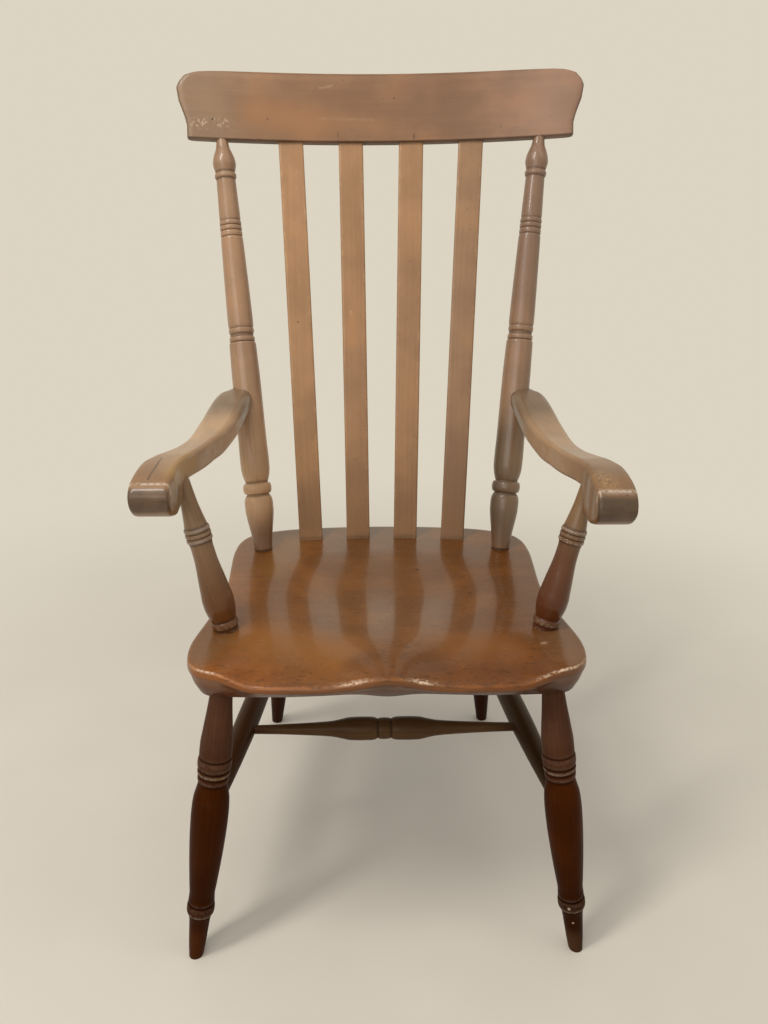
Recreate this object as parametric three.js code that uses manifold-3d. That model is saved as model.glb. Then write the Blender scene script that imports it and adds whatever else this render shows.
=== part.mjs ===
// Lath-back Windsor armchair: a saddled plank seat on turned legs, with turned stiles and flat
// laths under a bowed crest rail, and two scrolled arms on turned posts.
// Millimetres, +Z up. The sitter faces -Y. Left and right are as seen from the front.
// While it is built, Y counts back from the seat's front edge and Z up from the floor.

import * as THREE from 'three';
import { mergeVertices } from 'three/addons/utils/BufferGeometryUtils.js';
import Module from 'manifold-3d';

const wasm = await Module();
wasm.setup();

// Joints: the gap left round every tenon, and how far a cutter runs past the face it cuts
const fitGap = 0.3;
const cutOverrun = 8;

// Seat
const seatWidth = 498;
const seatDepth = 454;
const seatHeight = 438;
const seatThickness = 42;
const seatUndercut = 11;
const seatFrontUndercut = 31;
const saddleDepth = 18;
const frontCutDepth = 12.5;
const pommelWidth = 90;

// Legs: insets are from the seat's widest side and from its front or back edge
const frontLegDiameter = 48;
const frontLegSideInset = 43.5;
const frontLegFrontInset = 40;
const frontLegSplay = 56;
const frontLegRake = 44;
const rearLegDiameter = 37;
const rearLegSideInset = 91;
const rearLegBackInset = 70;
const rearLegSplay = 43;
const rearLegRake = 124;
const legTenonDiameter = 27;

// Stretchers
const sideStretcherDiameter = 34.5;
const sideStretcherFrontHeight = 221;
const sideStretcherRearHeight = 232;
const crossStretcherDiameter = 34.5;

// Stiles: the side inset is from the seat's edge beside the stile
const stileDiameter = 45;
const stileSideInset = 43.5;
const stileBackInset = 89;
const stileSplay = 52;
const stileLean = 184;
const backHeight = 599;
const stileTenonDiameter = 26;
const stileNeckSink = 3;
const stileTopTenonDiameter = 13;
const stileTopTenonLength = 42;

// Crest rail: it stands out of level, its right end higher than its left by the rise
const crestHeight = 101;
const crestThickness = 18;
const crestOverhang = 63.5;
const crestBowRadius = 1600;
const crestRise = 9;
const crestPegDiameter = 6;
const crestPegHeight = 33;

// Laths
const lathWidth = 37.5;
const lathThickness = 8.5;
const lathChamfer = 1.6;
const lathForwardBow = 9;
const lathBackInset = 44;
const lathSeatTenon = 18;
const lathCrestTenon = 16;

// Arms: heights are above the seat, the reach runs forward from the stile and the spread
// outward. The two are shaped by hand and differ a little in height, spread and scroll.
const armTailHeight = 245;
const armThickness = 32;
const armReach = 379;
const armWidth = 48;
const armTenonDiameter = 14;
const leftArmHeight = 229;
const leftArmSpread = 65;
const leftArmScrollDrop = 24;
const rightArmHeight = 222;
const rightArmSpread = 58;
const rightArmScrollDrop = 29;

// Arm posts
const postDiameter = 40.5;
const postSideInset = 33.5;
const postFrontInset = 123;
const postTenonDiameter = 24;
const postArmTenonDiameter = 12;
const postArmTenonLength = 18;
const postHeadSpread = 43;
const postCollarSink = 5;
const postNeckSink = 3;

// Wedges driven from beneath into the tenons that pass through the seat
const wedgeThickness = 3.2;
const wedgeTipThickness = 0.8;
const wedgeLength = 20;

// Seat outline from the middle of the back to the middle of the front: half-width, depth
const seatOutlineShares = [
  [0, 1], [0.57, 0.978], [0.76, 0.95], [0.87, 0.915], [0.918, 0.866], [0.937, 0.78],
  [0.93, 0.68], [0.918, 0.58], [0.914, 0.5], [0.93, 0.41], [0.96, 0.317], [1, 0.191],
  [0.996, 0.126], [0.976, 0.09], [0.93, 0.062], [0.811, 0.038], [0.659, 0.013], [0.42, 0.006],
  [0.2, 0.008], [0, 0.013],
];
// The outline's rows that run along its back, and along its side from front to back
const seatRearRowsEnd = 6;
const seatSideRowsStart = 3;
const seatSideRowsEnd = 12;
// Seat edge: how far in of the undercut, how far down of the thickness
const seatEdgeShares = [
  [0.3, 0], [0.1, 0.03], [0.02, 0.12], [0, 0.24], [0.25, 0.45], [0.48, 0.68], [0.78, 0.87],
  [1, 1],
];
// Rings over the seat's top, and the place of the point that they shrink towards
const seatRingShares = [0.14, 0.3, 0.45, 0.57, 0.67, 0.76, 0.84, 0.91, 0.94];
const seatHubShare = 0.45;
const seatOutlineSteps = 60;
// Saddle: the half-width and depth that it reaches, how it rises towards the front, how flat
// its floor is, and what the pommel takes from it over the pommel's length
const saddleSideShare = 0.82;
const saddleBackShare = 0.4;
const saddleFrontShare = 0.75;
const saddleRiseShare = 1.05;
const saddleFloorShare = 0.15;
const saddleCurve = 2.5;
const pommelDishShare = 0.5;
const pommelLengthShare = 0.31;
// Front edge: how wide its cut stays full and where it ends, how far the pommel fills it and
// the undercut below it, and how far back the top rolls down to it
const frontCutFloorShare = 0.78;
const frontCutReachShare = 1.08;
const pommelHeightShare = 0.9;
const pommelUndercutShare = 0.27;
const rollLengthShare = 0.24;
const rollCurve = 1.4;
// The front undercut fades out between these shares of the half-width, and over this depth
const undercutFadeShares = [0.62, 0.95];
const undercutDepthShare = 0.12;

// Turned profiles. Rows of two are a share of the length and of the diameter. Rows of four
// are a bead: where it starts and ends, its crown and the grooves beside it.
const stileShares = [
  [0, 0.604], [0.027, 0.69], [0.053, 0.8], [0.078, 0.915], [0.1, 0.98], [0.118, 0.985],
  [0.131, 0.925], [0.138, 0.8], [0.141, 0.169, 0.987, 0.75], [0.179, 0.855], [0.192, 0.945],
  [0.206, 0.99], [0.23, 1], [0.279, 0.973], [0.428, 0.962], [0.476, 0.933], [0.512, 0.9],
  [0.516, 0.536, 0.912, 0.833], [0.538, 0.558, 0.9, 0.822], [0.561, 0.857], [0.634, 0.829],
  [0.7135, 0.778], [0.768, 0.733], [0.772, 0.785, 0.735, 0.667],
  [0.7865, 0.797, 0.735, 0.667], [0.7985, 0.809, 0.73, 0.667], [0.816, 0.702],
  [0.864, 0.667], [0.9045, 0.636], [0.909, 0.922, 0.722, 0.622], [0.9315, 0.7],
  [0.943, 0.764], [0.955, 0.722], [0.9695, 0.589], [0.983, 0.444], [1, 0.378],
];
const frontLegShares = [
  [0, 0.573], [0.062, 0.66], [0.124, 0.767], [0.182, 0.85], [0.214, 0.854],
  [0.2245, 0.2625, 0.9, 0.8], [0.2655, 0.284, 0.868, 0.795], [0.287, 0.309, 0.83, 0.78],
  [0.313, 0.771], [0.345, 0.86], [0.372, 0.95], [0.4, 0.986], [0.435, 1], [0.498, 0.979],
  [0.572, 0.917], [0.64, 0.84], [0.706, 0.75], [0.746, 0.698], [0.774, 0.719],
  [0.781, 0.822, 0.77, 0.65], [0.851, 0.579], [0.9, 0.525], [0.953, 0.469], [1, 0.396],
];
const rearLegShares = [
  [0, 0.73], [0.12, 0.8], [0.25, 0.892], [0.4, 0.965], [0.5, 1], [0.62, 0.973],
  [0.74, 0.87], [0.85, 0.743], [1, 0.541],
];
const postShares = [
  [0, 0.741], [0.016, 0.064, 0.863, 0.765], [0.08, 0.83], [0.117, 0.915], [0.165, 0.99],
  [0.21, 1], [0.268, 0.944], [0.33, 0.881], [0.384, 0.821], [0.427, 0.771], [0.499, 0.715],
  [0.57, 0.703], [0.61, 0.64, 0.82, 0.735], [0.642, 0.672, 0.82, 0.735],
  [0.675, 0.705, 0.815, 0.73], [0.716, 0.715], [0.763, 0.642], [0.865, 0.519], [1, 0.445],
];
const sideStretcherShares = [
  [0.1, 0.667], [0.18, 0.77], [0.25, 0.855], [0.33, 0.93], [0.4, 0.986], [0.5, 1],
  [0.6, 0.986], [0.67, 0.93], [0.75, 0.855], [0.82, 0.77], [0.9, 0.667],
];
const sideStretcherEndShare = 0.58;
// Half of the cross stretcher, from its middle bead outwards
const crossStretcherShares = [
  [0.058, 0.899], [0.097, 0.986], [0.169, 1], [0.242, 0.971], [0.309, 0.812],
  [0.374, 0.667], [0.478, 0.571], [0.638, 0.475], [0.797, 0.406], [0.913, 0.377],
];
const crossBeadShares = [-0.046, 0.046, 0.913, 0.783];
const crossStretcherEndShare = 0.362;
const beadShoulderShare = 0.24;
// Places shared by turned pieces
const legTenonShare = 0.62;
const stretcherStopShare = 0.16;
const crossStretcherPlaceShare = 0.402;
const turningSides = 14;

// Crest rail: height and half-width of its ends, its section, and its stations from the
// middle out with their share of the thickness
const crestEndShares = [
  [0, 0.9535], [0.178, 0.9535], [0.297, 0.9635], [0.515, 0.99], [0.703, 1], [0.792, 0.987],
  [0.891, 0.96], [0.94, 0.914], [0.96, 0.86], [0.975, 0.76], [0.99, 0.5], [1, 0.25],
];
const crestSectionShares = [
  [0, 0.36], [0.025, 0.47], [0.07, 0.5], [0.4, 0.5], [0.703, 0.5], [0.86, 0.48], [0.94, 0.4],
  [0.98, 0.28], [1, 0.12],
];
const crestStationShares = [
  [0, 1], [0.16, 1], [0.32, 1], [0.48, 1], [0.62, 1], [0.74, 1], [0.84, 1], [0.92, 1],
  [0.965, 0.98], [0.99, 0.82], [1, 0.5],
];
const crestPegStopShare = 0.2;

// Laths: how far out their feet and heads stand, as shares of the stiles' own
const lathPlaceShares = [[-0.611, -0.5735], [-0.204, -0.193], [0.204, 0.193], [0.611, 0.5735]];
const lathSteps = 8;

// Arm sections from the stile to the scroll's front: along the reach, across the spread,
// width, rise, thickness, scroll drop and corner
const armShares = [
  [0.03, 0.11, 0.9, 1, 0.97, 0, 0.45],
  [0.0623, 0.19, 0.92, 0.97, 0.97, 0, 0.45],
  [0.0861, 0.24, 1.06, 0.93, 1, 0, 0.44],
  [0.1548, 0.294, 1.12, 0.7, 1.05, 0, 0.42],
  [0.234, 0.341, 1.1, 0.35, 1.05, 0, 0.36],
  [0.3133, 0.39, 1.03, 0.05, 1.06, 0, 0.3],
  [0.3925, 0.446, 0.94, -0.17, 1.06, 0, 0.25],
  [0.4717, 0.493, 0.85, -0.3, 1.04, 0, 0.22],
  [0.551, 0.563, 0.735, -0.32, 1.01, 0, 0.2],
  [0.63, 0.649, 0.73, -0.25, 1.01, 0, 0.2],
  [0.7095, 0.774, 0.8, -0.1, 1, 0, 0.2],
  [0.7676, 0.88, 0.89, 0, 1, 0, 0.2],
  [0.8046, 0.945, 0.94, 0, 1, 0, 0.2],
  [0.8257, 0.97, 0.96, -0.01, 1, 0.6, 0.2],
  [0.86, 0.985, 0.975, -0.06, 1, 0.97, 0.2],
  [0.8944, 0.99, 0.985, -0.15, 1, 1, 0.2],
  [0.9314, 1, 0.99, -0.32, 0.96, 0.8, 0.2],
  [0.9604, 1, 0.99, -0.52, 0.9, 0.545, 0.18],
  [0.9815, 1, 0.97, -0.78, 0.7, 0.33, 0.16],
  [0.9947, 1, 0.95, -1.1, 0.45, 0.12, 0.12],
  [1, 1, 0.93, -1.35, 0.25, 0, 0.1],
];
const armCornerSteps = 3;
const armTenonStopShare = 0.35;
const armTenonRootShare = 0.16;
const armTenonAcrossShare = 0.294;
const postAlongShare = 0.783;
const wedgeWidthShare = 0.76;

// Heights and half sizes worked out from the sizes above
const seatUnderside = seatHeight - seatThickness;
const seatHalfWidth = seatWidth / 2;
const crestUnderside = seatHeight + backHeight;
const slabSize = 4 * seatWidth;

// Finishes
const finishes = {
  crest: { color: 0x93704f, roughness: 0.34 },
  stile: { color: 0xa07a55, roughness: 0.34 },
  lath: { color: 0x9d7550, roughness: 0.36 },
  arm: { color: 0x94704b, roughness: 0.32 },
  post: { color: 0x7d5738, roughness: 0.34 },
  seat: { color: 0x7c5632, roughness: 0.28 },
  leg: { color: 0x5a331b, roughness: 0.36 },
  stretcher: { color: 0x4a2c1a, roughness: 0.38 },
  wedge: { color: 0x8a6a45, roughness: 0.6 },
};

const point = (x, y, z) => new THREE.Vector3(x, y, z);
const lerp = THREE.MathUtils.lerp;
const smooth = THREE.MathUtils.smoothstep;

// The point at a given height on the line through two points
function atHeight(from, to, height) {
  return from.clone().lerp(to, (height - from.z) / (to.z - from.z));
}

// The value at a place in rows of [place, value]
function readRows(rows, place) {
  const next = rows.findIndex((row) => row[0] >= place);
  if (next <= 0) return rows.at(next)[1];
  const [x0, y0] = rows[next - 1];
  const [x1, y1] = rows[next];
  return lerp(y0, y1, (place - x0) / (x1 - x0));
}

// The placement whose own Y axis runs from one point towards another
function alongLine(from, to) {
  const direction = to.clone().sub(from).normalize();
  const turn = new THREE.Quaternion().setFromUnitVectors(point(0, 1, 0), direction);
  return new THREE.Matrix4().compose(from, turn, point(1, 1, 1));
}

// An upright placement, which keeps level faces exactly level
function standingAt(place) {
  return new THREE.Matrix4().setPosition(place);
}

// Solids are cut and joined in the chair's frame
function solidFrom(geometry, placement = new THREE.Matrix4()) {
  const bare = geometry.clone();
  bare.deleteAttribute('normal');
  bare.deleteAttribute('uv');
  const welded = mergeVertices(bare).applyMatrix4(placement);
  return new wasm.Manifold(new wasm.Mesh({
    numProp: 3,
    vertProperties: new Float32Array(welded.attributes.position.array),
    triVerts: new Uint32Array(welded.index.array),
  }));
}

function cut(solid, ...tools) {
  return tools.reduce((rest, tool) => rest.subtract(tool), solid);
}

// A named mesh whose own frame is the placement
function piece(name, finish, solid, placement = new THREE.Matrix4()) {
  const { vertProperties, triVerts } = solid.getMesh();
  const geometry = new THREE.BufferGeometry();
  geometry.setAttribute('position', new THREE.BufferAttribute(vertProperties, 3));
  geometry.setIndex(new THREE.BufferAttribute(triVerts, 1));
  geometry.applyMatrix4(placement.clone().invert());
  geometry.computeVertexNormals();
  const material = new THREE.MeshStandardMaterial({ ...finishes[finish], metalness: 0 });
  const mesh = new THREE.Mesh(geometry, material);
  mesh.name = name;
  placement.decompose(mesh.position, mesh.quaternion, mesh.scale);
  return mesh;
}

// A closed skin over a row of rings, with a strip across each end
function loft(rings) {
  const count = rings[0].length;
  const points = rings.flat();
  const last = points.length - count;
  const faces = [];
  for (let i = 0; i < count; i += 1) {
    const j = (i + 1) % count;
    for (let start = 0; start < last; start += count) {
      faces.push(start + i, start + j, start + count + j);
      faces.push(start + i, start + count + j, start + count + i);
    }
  }
  for (let i = 0; i < count / 2 - 1; i += 1) {
    const [a, b, c, d] = [i, i + 1, count - 2 - i, count - 1 - i];
    faces.push(a, c, b, a, d, c);
    faces.push(last + a, last + b, last + c, last + a, last + c, last + d);
  }
  let volume = 0;
  for (let i = 0; i < faces.length; i += 3) {
    const [a, b, c] = faces.slice(i, i + 3).map((index) => points[index]);
    volume += a.dot(b.clone().cross(c));
  }
  if (volume < 0) faces.reverse();
  const geometry = new THREE.BufferGeometry().setFromPoints(points);
  geometry.setIndex(faces);
  return geometry;
}

// Everything below a height
function slabBelow(height) {
  const slab = new THREE.BoxGeometry(slabSize, slabSize, slabSize);
  slab.translate(0, 0, height - slabSize / 2);
  return solidFrom(slab);
}

// A row of a turned profile in real sizes: one point, or the four points of a bead
function profileRow(row, length, diameter) {
  if (row.length === 2) return [[row[0] * length, row[1] * diameter]];
  const [start, end, crown, groove] = row;
  const shoulder = beadShoulderShare * (end - start);
  return [
    [start * length, groove * diameter],
    [(start + shoulder) * length, crown * diameter],
    [(end - shoulder) * length, crown * diameter],
    [end * length, groove * diameter],
  ];
}

function profile(shares, length, diameter) {
  return shares.flatMap((row) => profileRow(row, length, diameter));
}

// A turned member: rows of [distance, diameter] spun about the line between two points
class Turned {
  constructor(rows, from, to) {
    this.rows = rows;
    this.placement = alongLine(from, to);
  }

  // grow widens the member all round, as the hole that receives it is
  solid(grow = 0) {
    const ends = [this.rows[0][0] - grow, this.rows.at(-1)[0] + grow];
    const side = this.rows.map(([along, diameter]) => new THREE.Vector2(diameter / 2 + grow, along));
    side[0].y = ends[0];
    side.at(-1).y = ends[1];
    const outline = [new THREE.Vector2(0, ends[0]), ...side, new THREE.Vector2(0, ends[1])];
    return solidFrom(new THREE.LatheGeometry(outline, turningSides), this.placement);
  }

  hole() {
    return this.solid(fitGap);
  }
}

// Seat outline, closed, with both halves
const outlineHalf = seatOutlineShares.map(([x, y]) => point(x * seatHalfWidth, y * seatDepth, 0));
const otherHalf = outlineHalf.slice(1, -1).reverse().map((p) => point(-p.x, p.y, 0));
const seatCurve = new THREE.CatmullRomCurve3([...outlineHalf, ...otherHalf], true, 'centripetal');
const seatOutline = seatCurve.getSpacedPoints(seatOutlineSteps).slice(0, -1);
const seatRear = seatOutlineShares.slice(0, seatRearRowsEnd);
const seatSide = seatOutlineShares.slice(seatSideRowsStart, seatSideRowsEnd).reverse();
const seatRearRows = seatRear.map(([x, y]) => [x * seatHalfWidth, y * seatDepth]);
const seatSideRows = seatSide.map(([x, y]) => [y * seatDepth, x * seatHalfWidth]);

const seatBackAt = (x) => readRows(seatRearRows, Math.abs(x));
const seatSideAt = (y) => readRows(seatSideRows, y);

const pommelRidgeAt = (x) => Math.exp(-((2 * x / pommelWidth) ** 2));

// Height of the seat's top: a dish, which rolls down over the last stretch before the front
// edge to a line that is cut low on both sides of the pommel
function seatTopAt(x, y) {
  const across = Math.abs(x) / (saddleSideShare * seatHalfWidth);
  const back = Math.max(0, y / seatDepth / saddleBackShare - 1);
  const front = saddleRiseShare * Math.max(0, 1 - y / seatDepth / saddleFrontShare);
  const powers = across ** saddleCurve + back ** saddleCurve + front ** saddleCurve;
  const bowl = 1 - smooth(powers ** (1 / saddleCurve), saddleFloorShare, 1);
  const ridge = pommelRidgeAt(x);
  const fade = 1 - smooth(y, 0, pommelLengthShare * seatDepth);
  const dish = saddleDepth * bowl * (1 - pommelDishShare * ridge * fade);
  const lobes = 1 - smooth(across, frontCutFloorShare, frontCutReachShare);
  const cutDown = frontCutDepth * lobes * (1 - pommelHeightShare * ridge);
  const roll = Math.max(0, 1 - y / (rollLengthShare * seatDepth)) ** rollCurve;
  return seatHeight - lerp(dish, cutDown, roll);
}

function undercutAt(x, y) {
  const [start, end] = undercutFadeShares;
  const sides = smooth(Math.abs(x) / seatHalfWidth, start, end);
  const depths = smooth(y / seatDepth, 0, undercutDepthShare);
  const front = seatFrontUndercut * (1 - pommelUndercutShare * pommelRidgeAt(x) ** 2);
  return lerp(front, seatUndercut, Math.max(sides, depths));
}

function seatBlank() {
  const hub = point(0, seatHubShare * seatDepth, 0);
  const onTop = (p) => point(p.x, p.y, seatTopAt(p.x, p.y));
  const top = seatRingShares.map((share) => seatOutline.map((p) => onTop(hub.clone().lerp(p, share))));
  const edge = seatEdgeShares.map(([inward, down]) => seatOutline.map((p) => {
    const moved = inward * undercutAt(p.x, p.y);
    const ring = onTop(p.clone().add(hub.clone().sub(p).setLength(moved)));
    ring.z = lerp(ring.z, seatUnderside, down);
    return ring;
  }));
  return solidFrom(loft([...top, ...edge]));
}

// Rounded rectangle of the given width and height about a centre, in the X-Z plane
function armSection(centre, y, width, bottom, top, corner) {
  const radius = Math.min(corner, width / 2, (top - bottom) / 2);
  const ring = [];
  for (const [sx, sz, start] of [[1, 1, 0], [-1, 1, 1], [-1, -1, 2], [1, -1, 3]]) {
    const cx = centre + sx * (width / 2 - radius);
    const cz = (top + bottom) / 2 + sz * ((top - bottom) / 2 - radius);
    for (let i = 0; i <= armCornerSteps; i += 1) {
      const angle = (start + i / armCornerSteps) * Math.PI / 2;
      ring.push(point(cx + radius * Math.cos(angle), y, cz + radius * Math.sin(angle)));
    }
  }
  return ring;
}

function armBlank(side, root, height, spread, scrollDrop) {
  const rings = armShares.map(([along, across, width, rise, thickness, drop, corner]) => {
    const top = seatHeight + height + rise * (armTailHeight - height);
    const bottom = top - thickness * armThickness - drop * scrollDrop;
    const centre = root.x + side * across * spread;
    const round = corner * armThickness;
    return armSection(centre, root.y - along * armReach, width * armWidth, bottom, top, round);
  });
  return solidFrom(loft(rings));
}

// The crest rail's own frame: up its face and square to it, leaning as the stiles lean
const crestLean = Math.atan2(stileLean, backHeight);
const crestUp = point(0, Math.sin(crestLean), Math.cos(crestLean));
const crestBack = point(0, Math.cos(crestLean), -Math.sin(crestLean));
const stileFootY = seatDepth - stileBackInset;
const stileFootX = seatSideAt(stileFootY) - stileSideInset;
const stileHeadX = stileFootX + stileSplay;
const crestHalfWidth = stileHeadX + crestOverhang;

// The rail bows backward in the middle and crosses the stiles' line at their heads
const crestBowAt = (x) => (stileHeadX ** 2 - x ** 2) / (2 * crestBowRadius);

function onCrest(x, height, through) {
  return point(x, stileFootY + stileLean, crestUnderside)
    .addScaledVector(crestUp, height + crestRise * x / (2 * crestHalfWidth))
    .addScaledVector(crestBack, through + crestBowAt(x));
}

function crestBlank() {
  const back = crestSectionShares;
  const front = [...crestSectionShares].reverse().map(([up, through]) => [up, -through]);
  const outward = crestStationShares;
  const inward = crestStationShares.slice(1).reverse().map(([along, taper]) => [-along, taper]);
  const rings = [...inward, ...outward].map(([along, taper]) => (
    [...back, ...front].map(([up, through]) => onCrest(
      along * readRows(crestEndShares, up) * crestHalfWidth,
      up * crestHeight,
      through * taper * crestThickness,
    ))));
  return solidFrom(loft(rings));
}

// A lath: a chamfered flat strip that bows gently forward between the seat and the rail
function lathSolid([footShare, headShare], grow = 0) {
  const footX = footShare * stileFootX;
  const foot = point(footX, seatBackAt(footX) - lathBackInset, seatHeight);
  const head = onCrest(headShare * stileHeadX, 0, 0);
  const turn = Math.atan2((foot.x + head.x) / 2, crestBowRadius);
  const across = point(Math.cos(turn), -Math.sin(turn), 0);
  const run = head.clone().sub(foot);
  const forward = run.clone().cross(across).normalize().negate();
  const halfWidth = lathWidth / 2 + grow;
  const halfThickness = lathThickness / 2 + grow;
  const flats = halfWidth - lathChamfer;
  const sides = halfThickness - lathChamfer;
  const section = [
    [flats, halfThickness], [halfWidth, sides], [halfWidth, -sides], [flats, -halfThickness],
    [-flats, -halfThickness], [-halfWidth, -sides], [-halfWidth, sides], [-flats, halfThickness],
  ];
  const start = -(lathSeatTenon + grow) / run.length();
  const end = 1 + (lathCrestTenon + grow) / run.length();
  const rings = [];
  for (let i = 0; i <= lathSteps; i += 1) {
    const along = lerp(start, end, i / lathSteps);
    const bow = 4 * along * (1 - along) * lathForwardBow;
    const centre = foot.clone().addScaledVector(run, along).addScaledVector(forward, bow);
    rings.push(section.map(([u, v]) => (
      centre.clone().addScaledVector(across, u).addScaledVector(forward, v))));
  }
  return solidFrom(loft(rings));
}

// A wedge in the foot of a tenon, thin end up, along the tenon's own line
function wedgeSolid(placement, start, tenonDiameter, grow = 0) {
  const halfWidth = wedgeWidthShare * tenonDiameter / 2 + grow;
  const levels = [
    [start - cutOverrun - grow, wedgeThickness / 2 + grow],
    [start, wedgeThickness / 2 + grow],
    [start + wedgeLength + grow, wedgeTipThickness / 2 + grow],
  ];
  const rings = levels.map(([along, halfThickness]) => [
    point(halfWidth, along, halfThickness),
    point(-halfWidth, along, halfThickness),
    point(-halfWidth, along, -halfThickness),
    point(halfWidth, along, -halfThickness),
  ]);
  return solidFrom(loft(rings), placement);
}

// The line of one leg, and the member turned on it, which runs past the floor to be sawn flat
function leg(foot, head, shares, diameter) {
  const length = foot.distanceTo(head);
  const tenon = legTenonShare * seatThickness;
  const shape = profile(shares, length, diameter);
  const last = shape.at(-1)[1];
  const rows = [
    [-tenon, legTenonDiameter], [0, legTenonDiameter], ...shape, [length + cutOverrun, last],
  ];
  return new Turned(rows, head, foot);
}

// A stretcher let into two members, stopping short of their axes
function stretcher(from, to, inner, length, endDiameter, stops) {
  return new Turned(
    [[stops[0], endDiameter], ...inner, [length - stops[1], endDiameter]],
    from,
    to,
  );
}

// A member whose foot passes through the seat, sawn flush beneath and wedged
function throughTenon(shares, length, diameter, tenonDiameter, sink, head) {
  const shape = profile(shares, length, diameter);
  const below = seatThickness + tenonDiameter + cutOverrun;
  return [
    [-below, tenonDiameter], [-sink, tenonDiameter], [-sink, shape[0][1]], ...shape, ...head,
  ];
}

const floorSlab = slabBelow(0);
const underSeatSlab = slabBelow(seatUnderside);
const base = new THREE.Group();
const back = new THREE.Group();
const arms = new THREE.Group();
const seatHoles = [];
const crestHoles = [];
const sideLines = [];

const sides = [
  [-1, 'left', leftArmHeight, leftArmSpread, leftArmScrollDrop],
  [1, 'right', rightArmHeight, rightArmSpread, rightArmScrollDrop],
];
for (const [side, name, armHeight, armSpread, armScrollDrop] of sides) {
  // Legs
  const frontHead = point(
    side * (seatHalfWidth - frontLegSideInset), frontLegFrontInset, seatUnderside);
  const frontFoot = point(
    frontHead.x + side * frontLegSplay, frontHead.y - frontLegRake, 0);
  const rearHead = point(
    side * (seatHalfWidth - rearLegSideInset), seatDepth - rearLegBackInset, seatUnderside);
  const rearFoot = point(
    rearHead.x + side * rearLegSplay, rearHead.y + rearLegRake, 0);
  const frontLeg = leg(frontFoot, frontHead, frontLegShares, frontLegDiameter);
  const rearLeg = leg(rearFoot, rearHead, rearLegShares, rearLegDiameter);
  seatHoles.push(frontLeg.hole(), rearLeg.hole());

  // Side stretcher, between points on the two legs' lines
  const frontEnd = atHeight(frontFoot, frontHead, sideStretcherFrontHeight);
  const rearEnd = atHeight(rearFoot, rearHead, sideStretcherRearHeight);
  const sideLength = frontEnd.distanceTo(rearEnd);
  const sideStretcher = stretcher(
    frontEnd,
    rearEnd,
    profile(sideStretcherShares, sideLength, sideStretcherDiameter),
    sideLength,
    sideStretcherEndShare * sideStretcherDiameter,
    [stretcherStopShare * frontLegDiameter, stretcherStopShare * rearLegDiameter],
  );
  sideLines.push({ name, frontEnd, rearEnd, member: sideStretcher });

  const frontSolid = cut(frontLeg.solid(), sideStretcher.hole(), floorSlab);
  const rearSolid = cut(rearLeg.solid(), sideStretcher.hole(), floorSlab);
  base.add(piece(`leg_front_${name}`, 'leg', frontSolid, standingAt(frontFoot)));
  base.add(piece(`leg_rear_${name}`, 'leg', rearSolid, standingAt(rearFoot)));

  // Stile
  const stileFoot = point(side * stileFootX, stileFootY, seatHeight);
  const stileHead = onCrest(side * stileHeadX, 0, 0);
  const stileLength = stileFoot.distanceTo(stileHead);
  const stileTop = stileShares.at(-1)[1] * stileDiameter;
  const stileHeadRows = [
    [stileLength + stileNeckSink, stileTop],
    [stileLength + stileNeckSink, stileTopTenonDiameter],
    [stileLength + stileTopTenonLength, stileTopTenonDiameter],
  ];
  const stile = new Turned(
    throughTenon(stileShares, stileLength, stileDiameter, stileTenonDiameter, fitGap, stileHeadRows),
    stileFoot,
    stileHead,
  );
  seatHoles.push(stile.hole());
  crestHoles.push(stile.hole());

  // Peg through the rail and the stile's head, from the back
  const pegX = lerp(stileFoot.x, stileHead.x, 1 + crestPegHeight / stileLength);
  const pegEntry = onCrest(pegX, crestPegHeight, crestThickness / 2);
  const pegStop = onCrest(pegX, crestPegHeight, crestPegStopShare * crestThickness - crestThickness / 2);
  const pegRows = [[0, crestPegDiameter], [pegEntry.distanceTo(pegStop), crestPegDiameter]];
  const peg = new Turned(pegRows, pegEntry, pegStop);
  crestHoles.push(peg.hole());
  back.add(piece(`crest_peg_${name}`, 'wedge', peg.solid(), peg.placement));

  // Arm post
  const stileAtArm = atHeight(stileFoot, stileHead, seatHeight + armTailHeight);
  const postFoot = point(
    side * (seatSideAt(postFrontInset) - postSideInset), postFrontInset, seatHeight);
  const postHead = point(
    stileAtArm.x + side * postHeadSpread,
    stileAtArm.y - postAlongShare * armReach,
    seatHeight + armHeight - armThickness,
  );
  const postLength = postFoot.distanceTo(postHead);
  const postHeadRows = [
    [postLength + postNeckSink, postShares.at(-1)[1] * postDiameter],
    [postLength + postNeckSink, postArmTenonDiameter],
    [postLength + postArmTenonLength, postArmTenonDiameter],
  ];
  const post = new Turned(
    throughTenon(postShares, postLength, postDiameter, postTenonDiameter, postCollarSink, postHeadRows),
    postFoot,
    postHead,
  );
  seatHoles.push(post.hole());

  // Arm, coped round the stile and pinned into it by a round tenon of its own
  const armRoot = stileAtArm.clone().setZ(seatHeight + armTailHeight - armThickness / 2);
  const armCentre = point(
    armRoot.x + side * armTenonAcrossShare * armSpread,
    armRoot.y - armTenonRootShare * armReach,
    armRoot.z,
  );
  const tenonLength = armRoot.distanceTo(armCentre);
  const tenonRows = [
    [armTenonStopShare * stileDiameter / 2, armTenonDiameter], [tenonLength, armTenonDiameter],
  ];
  const armTenon = new Turned(tenonRows, armRoot, armCentre);
  const armBody = armBlank(side, stileAtArm, armHeight, armSpread, armScrollDrop);
  const armSolid = cut(armBody, stile.hole(), post.hole()).add(armTenon.solid());
  arms.add(piece(`arm_${name}`, 'arm', armSolid, standingAt(armRoot)));

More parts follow.
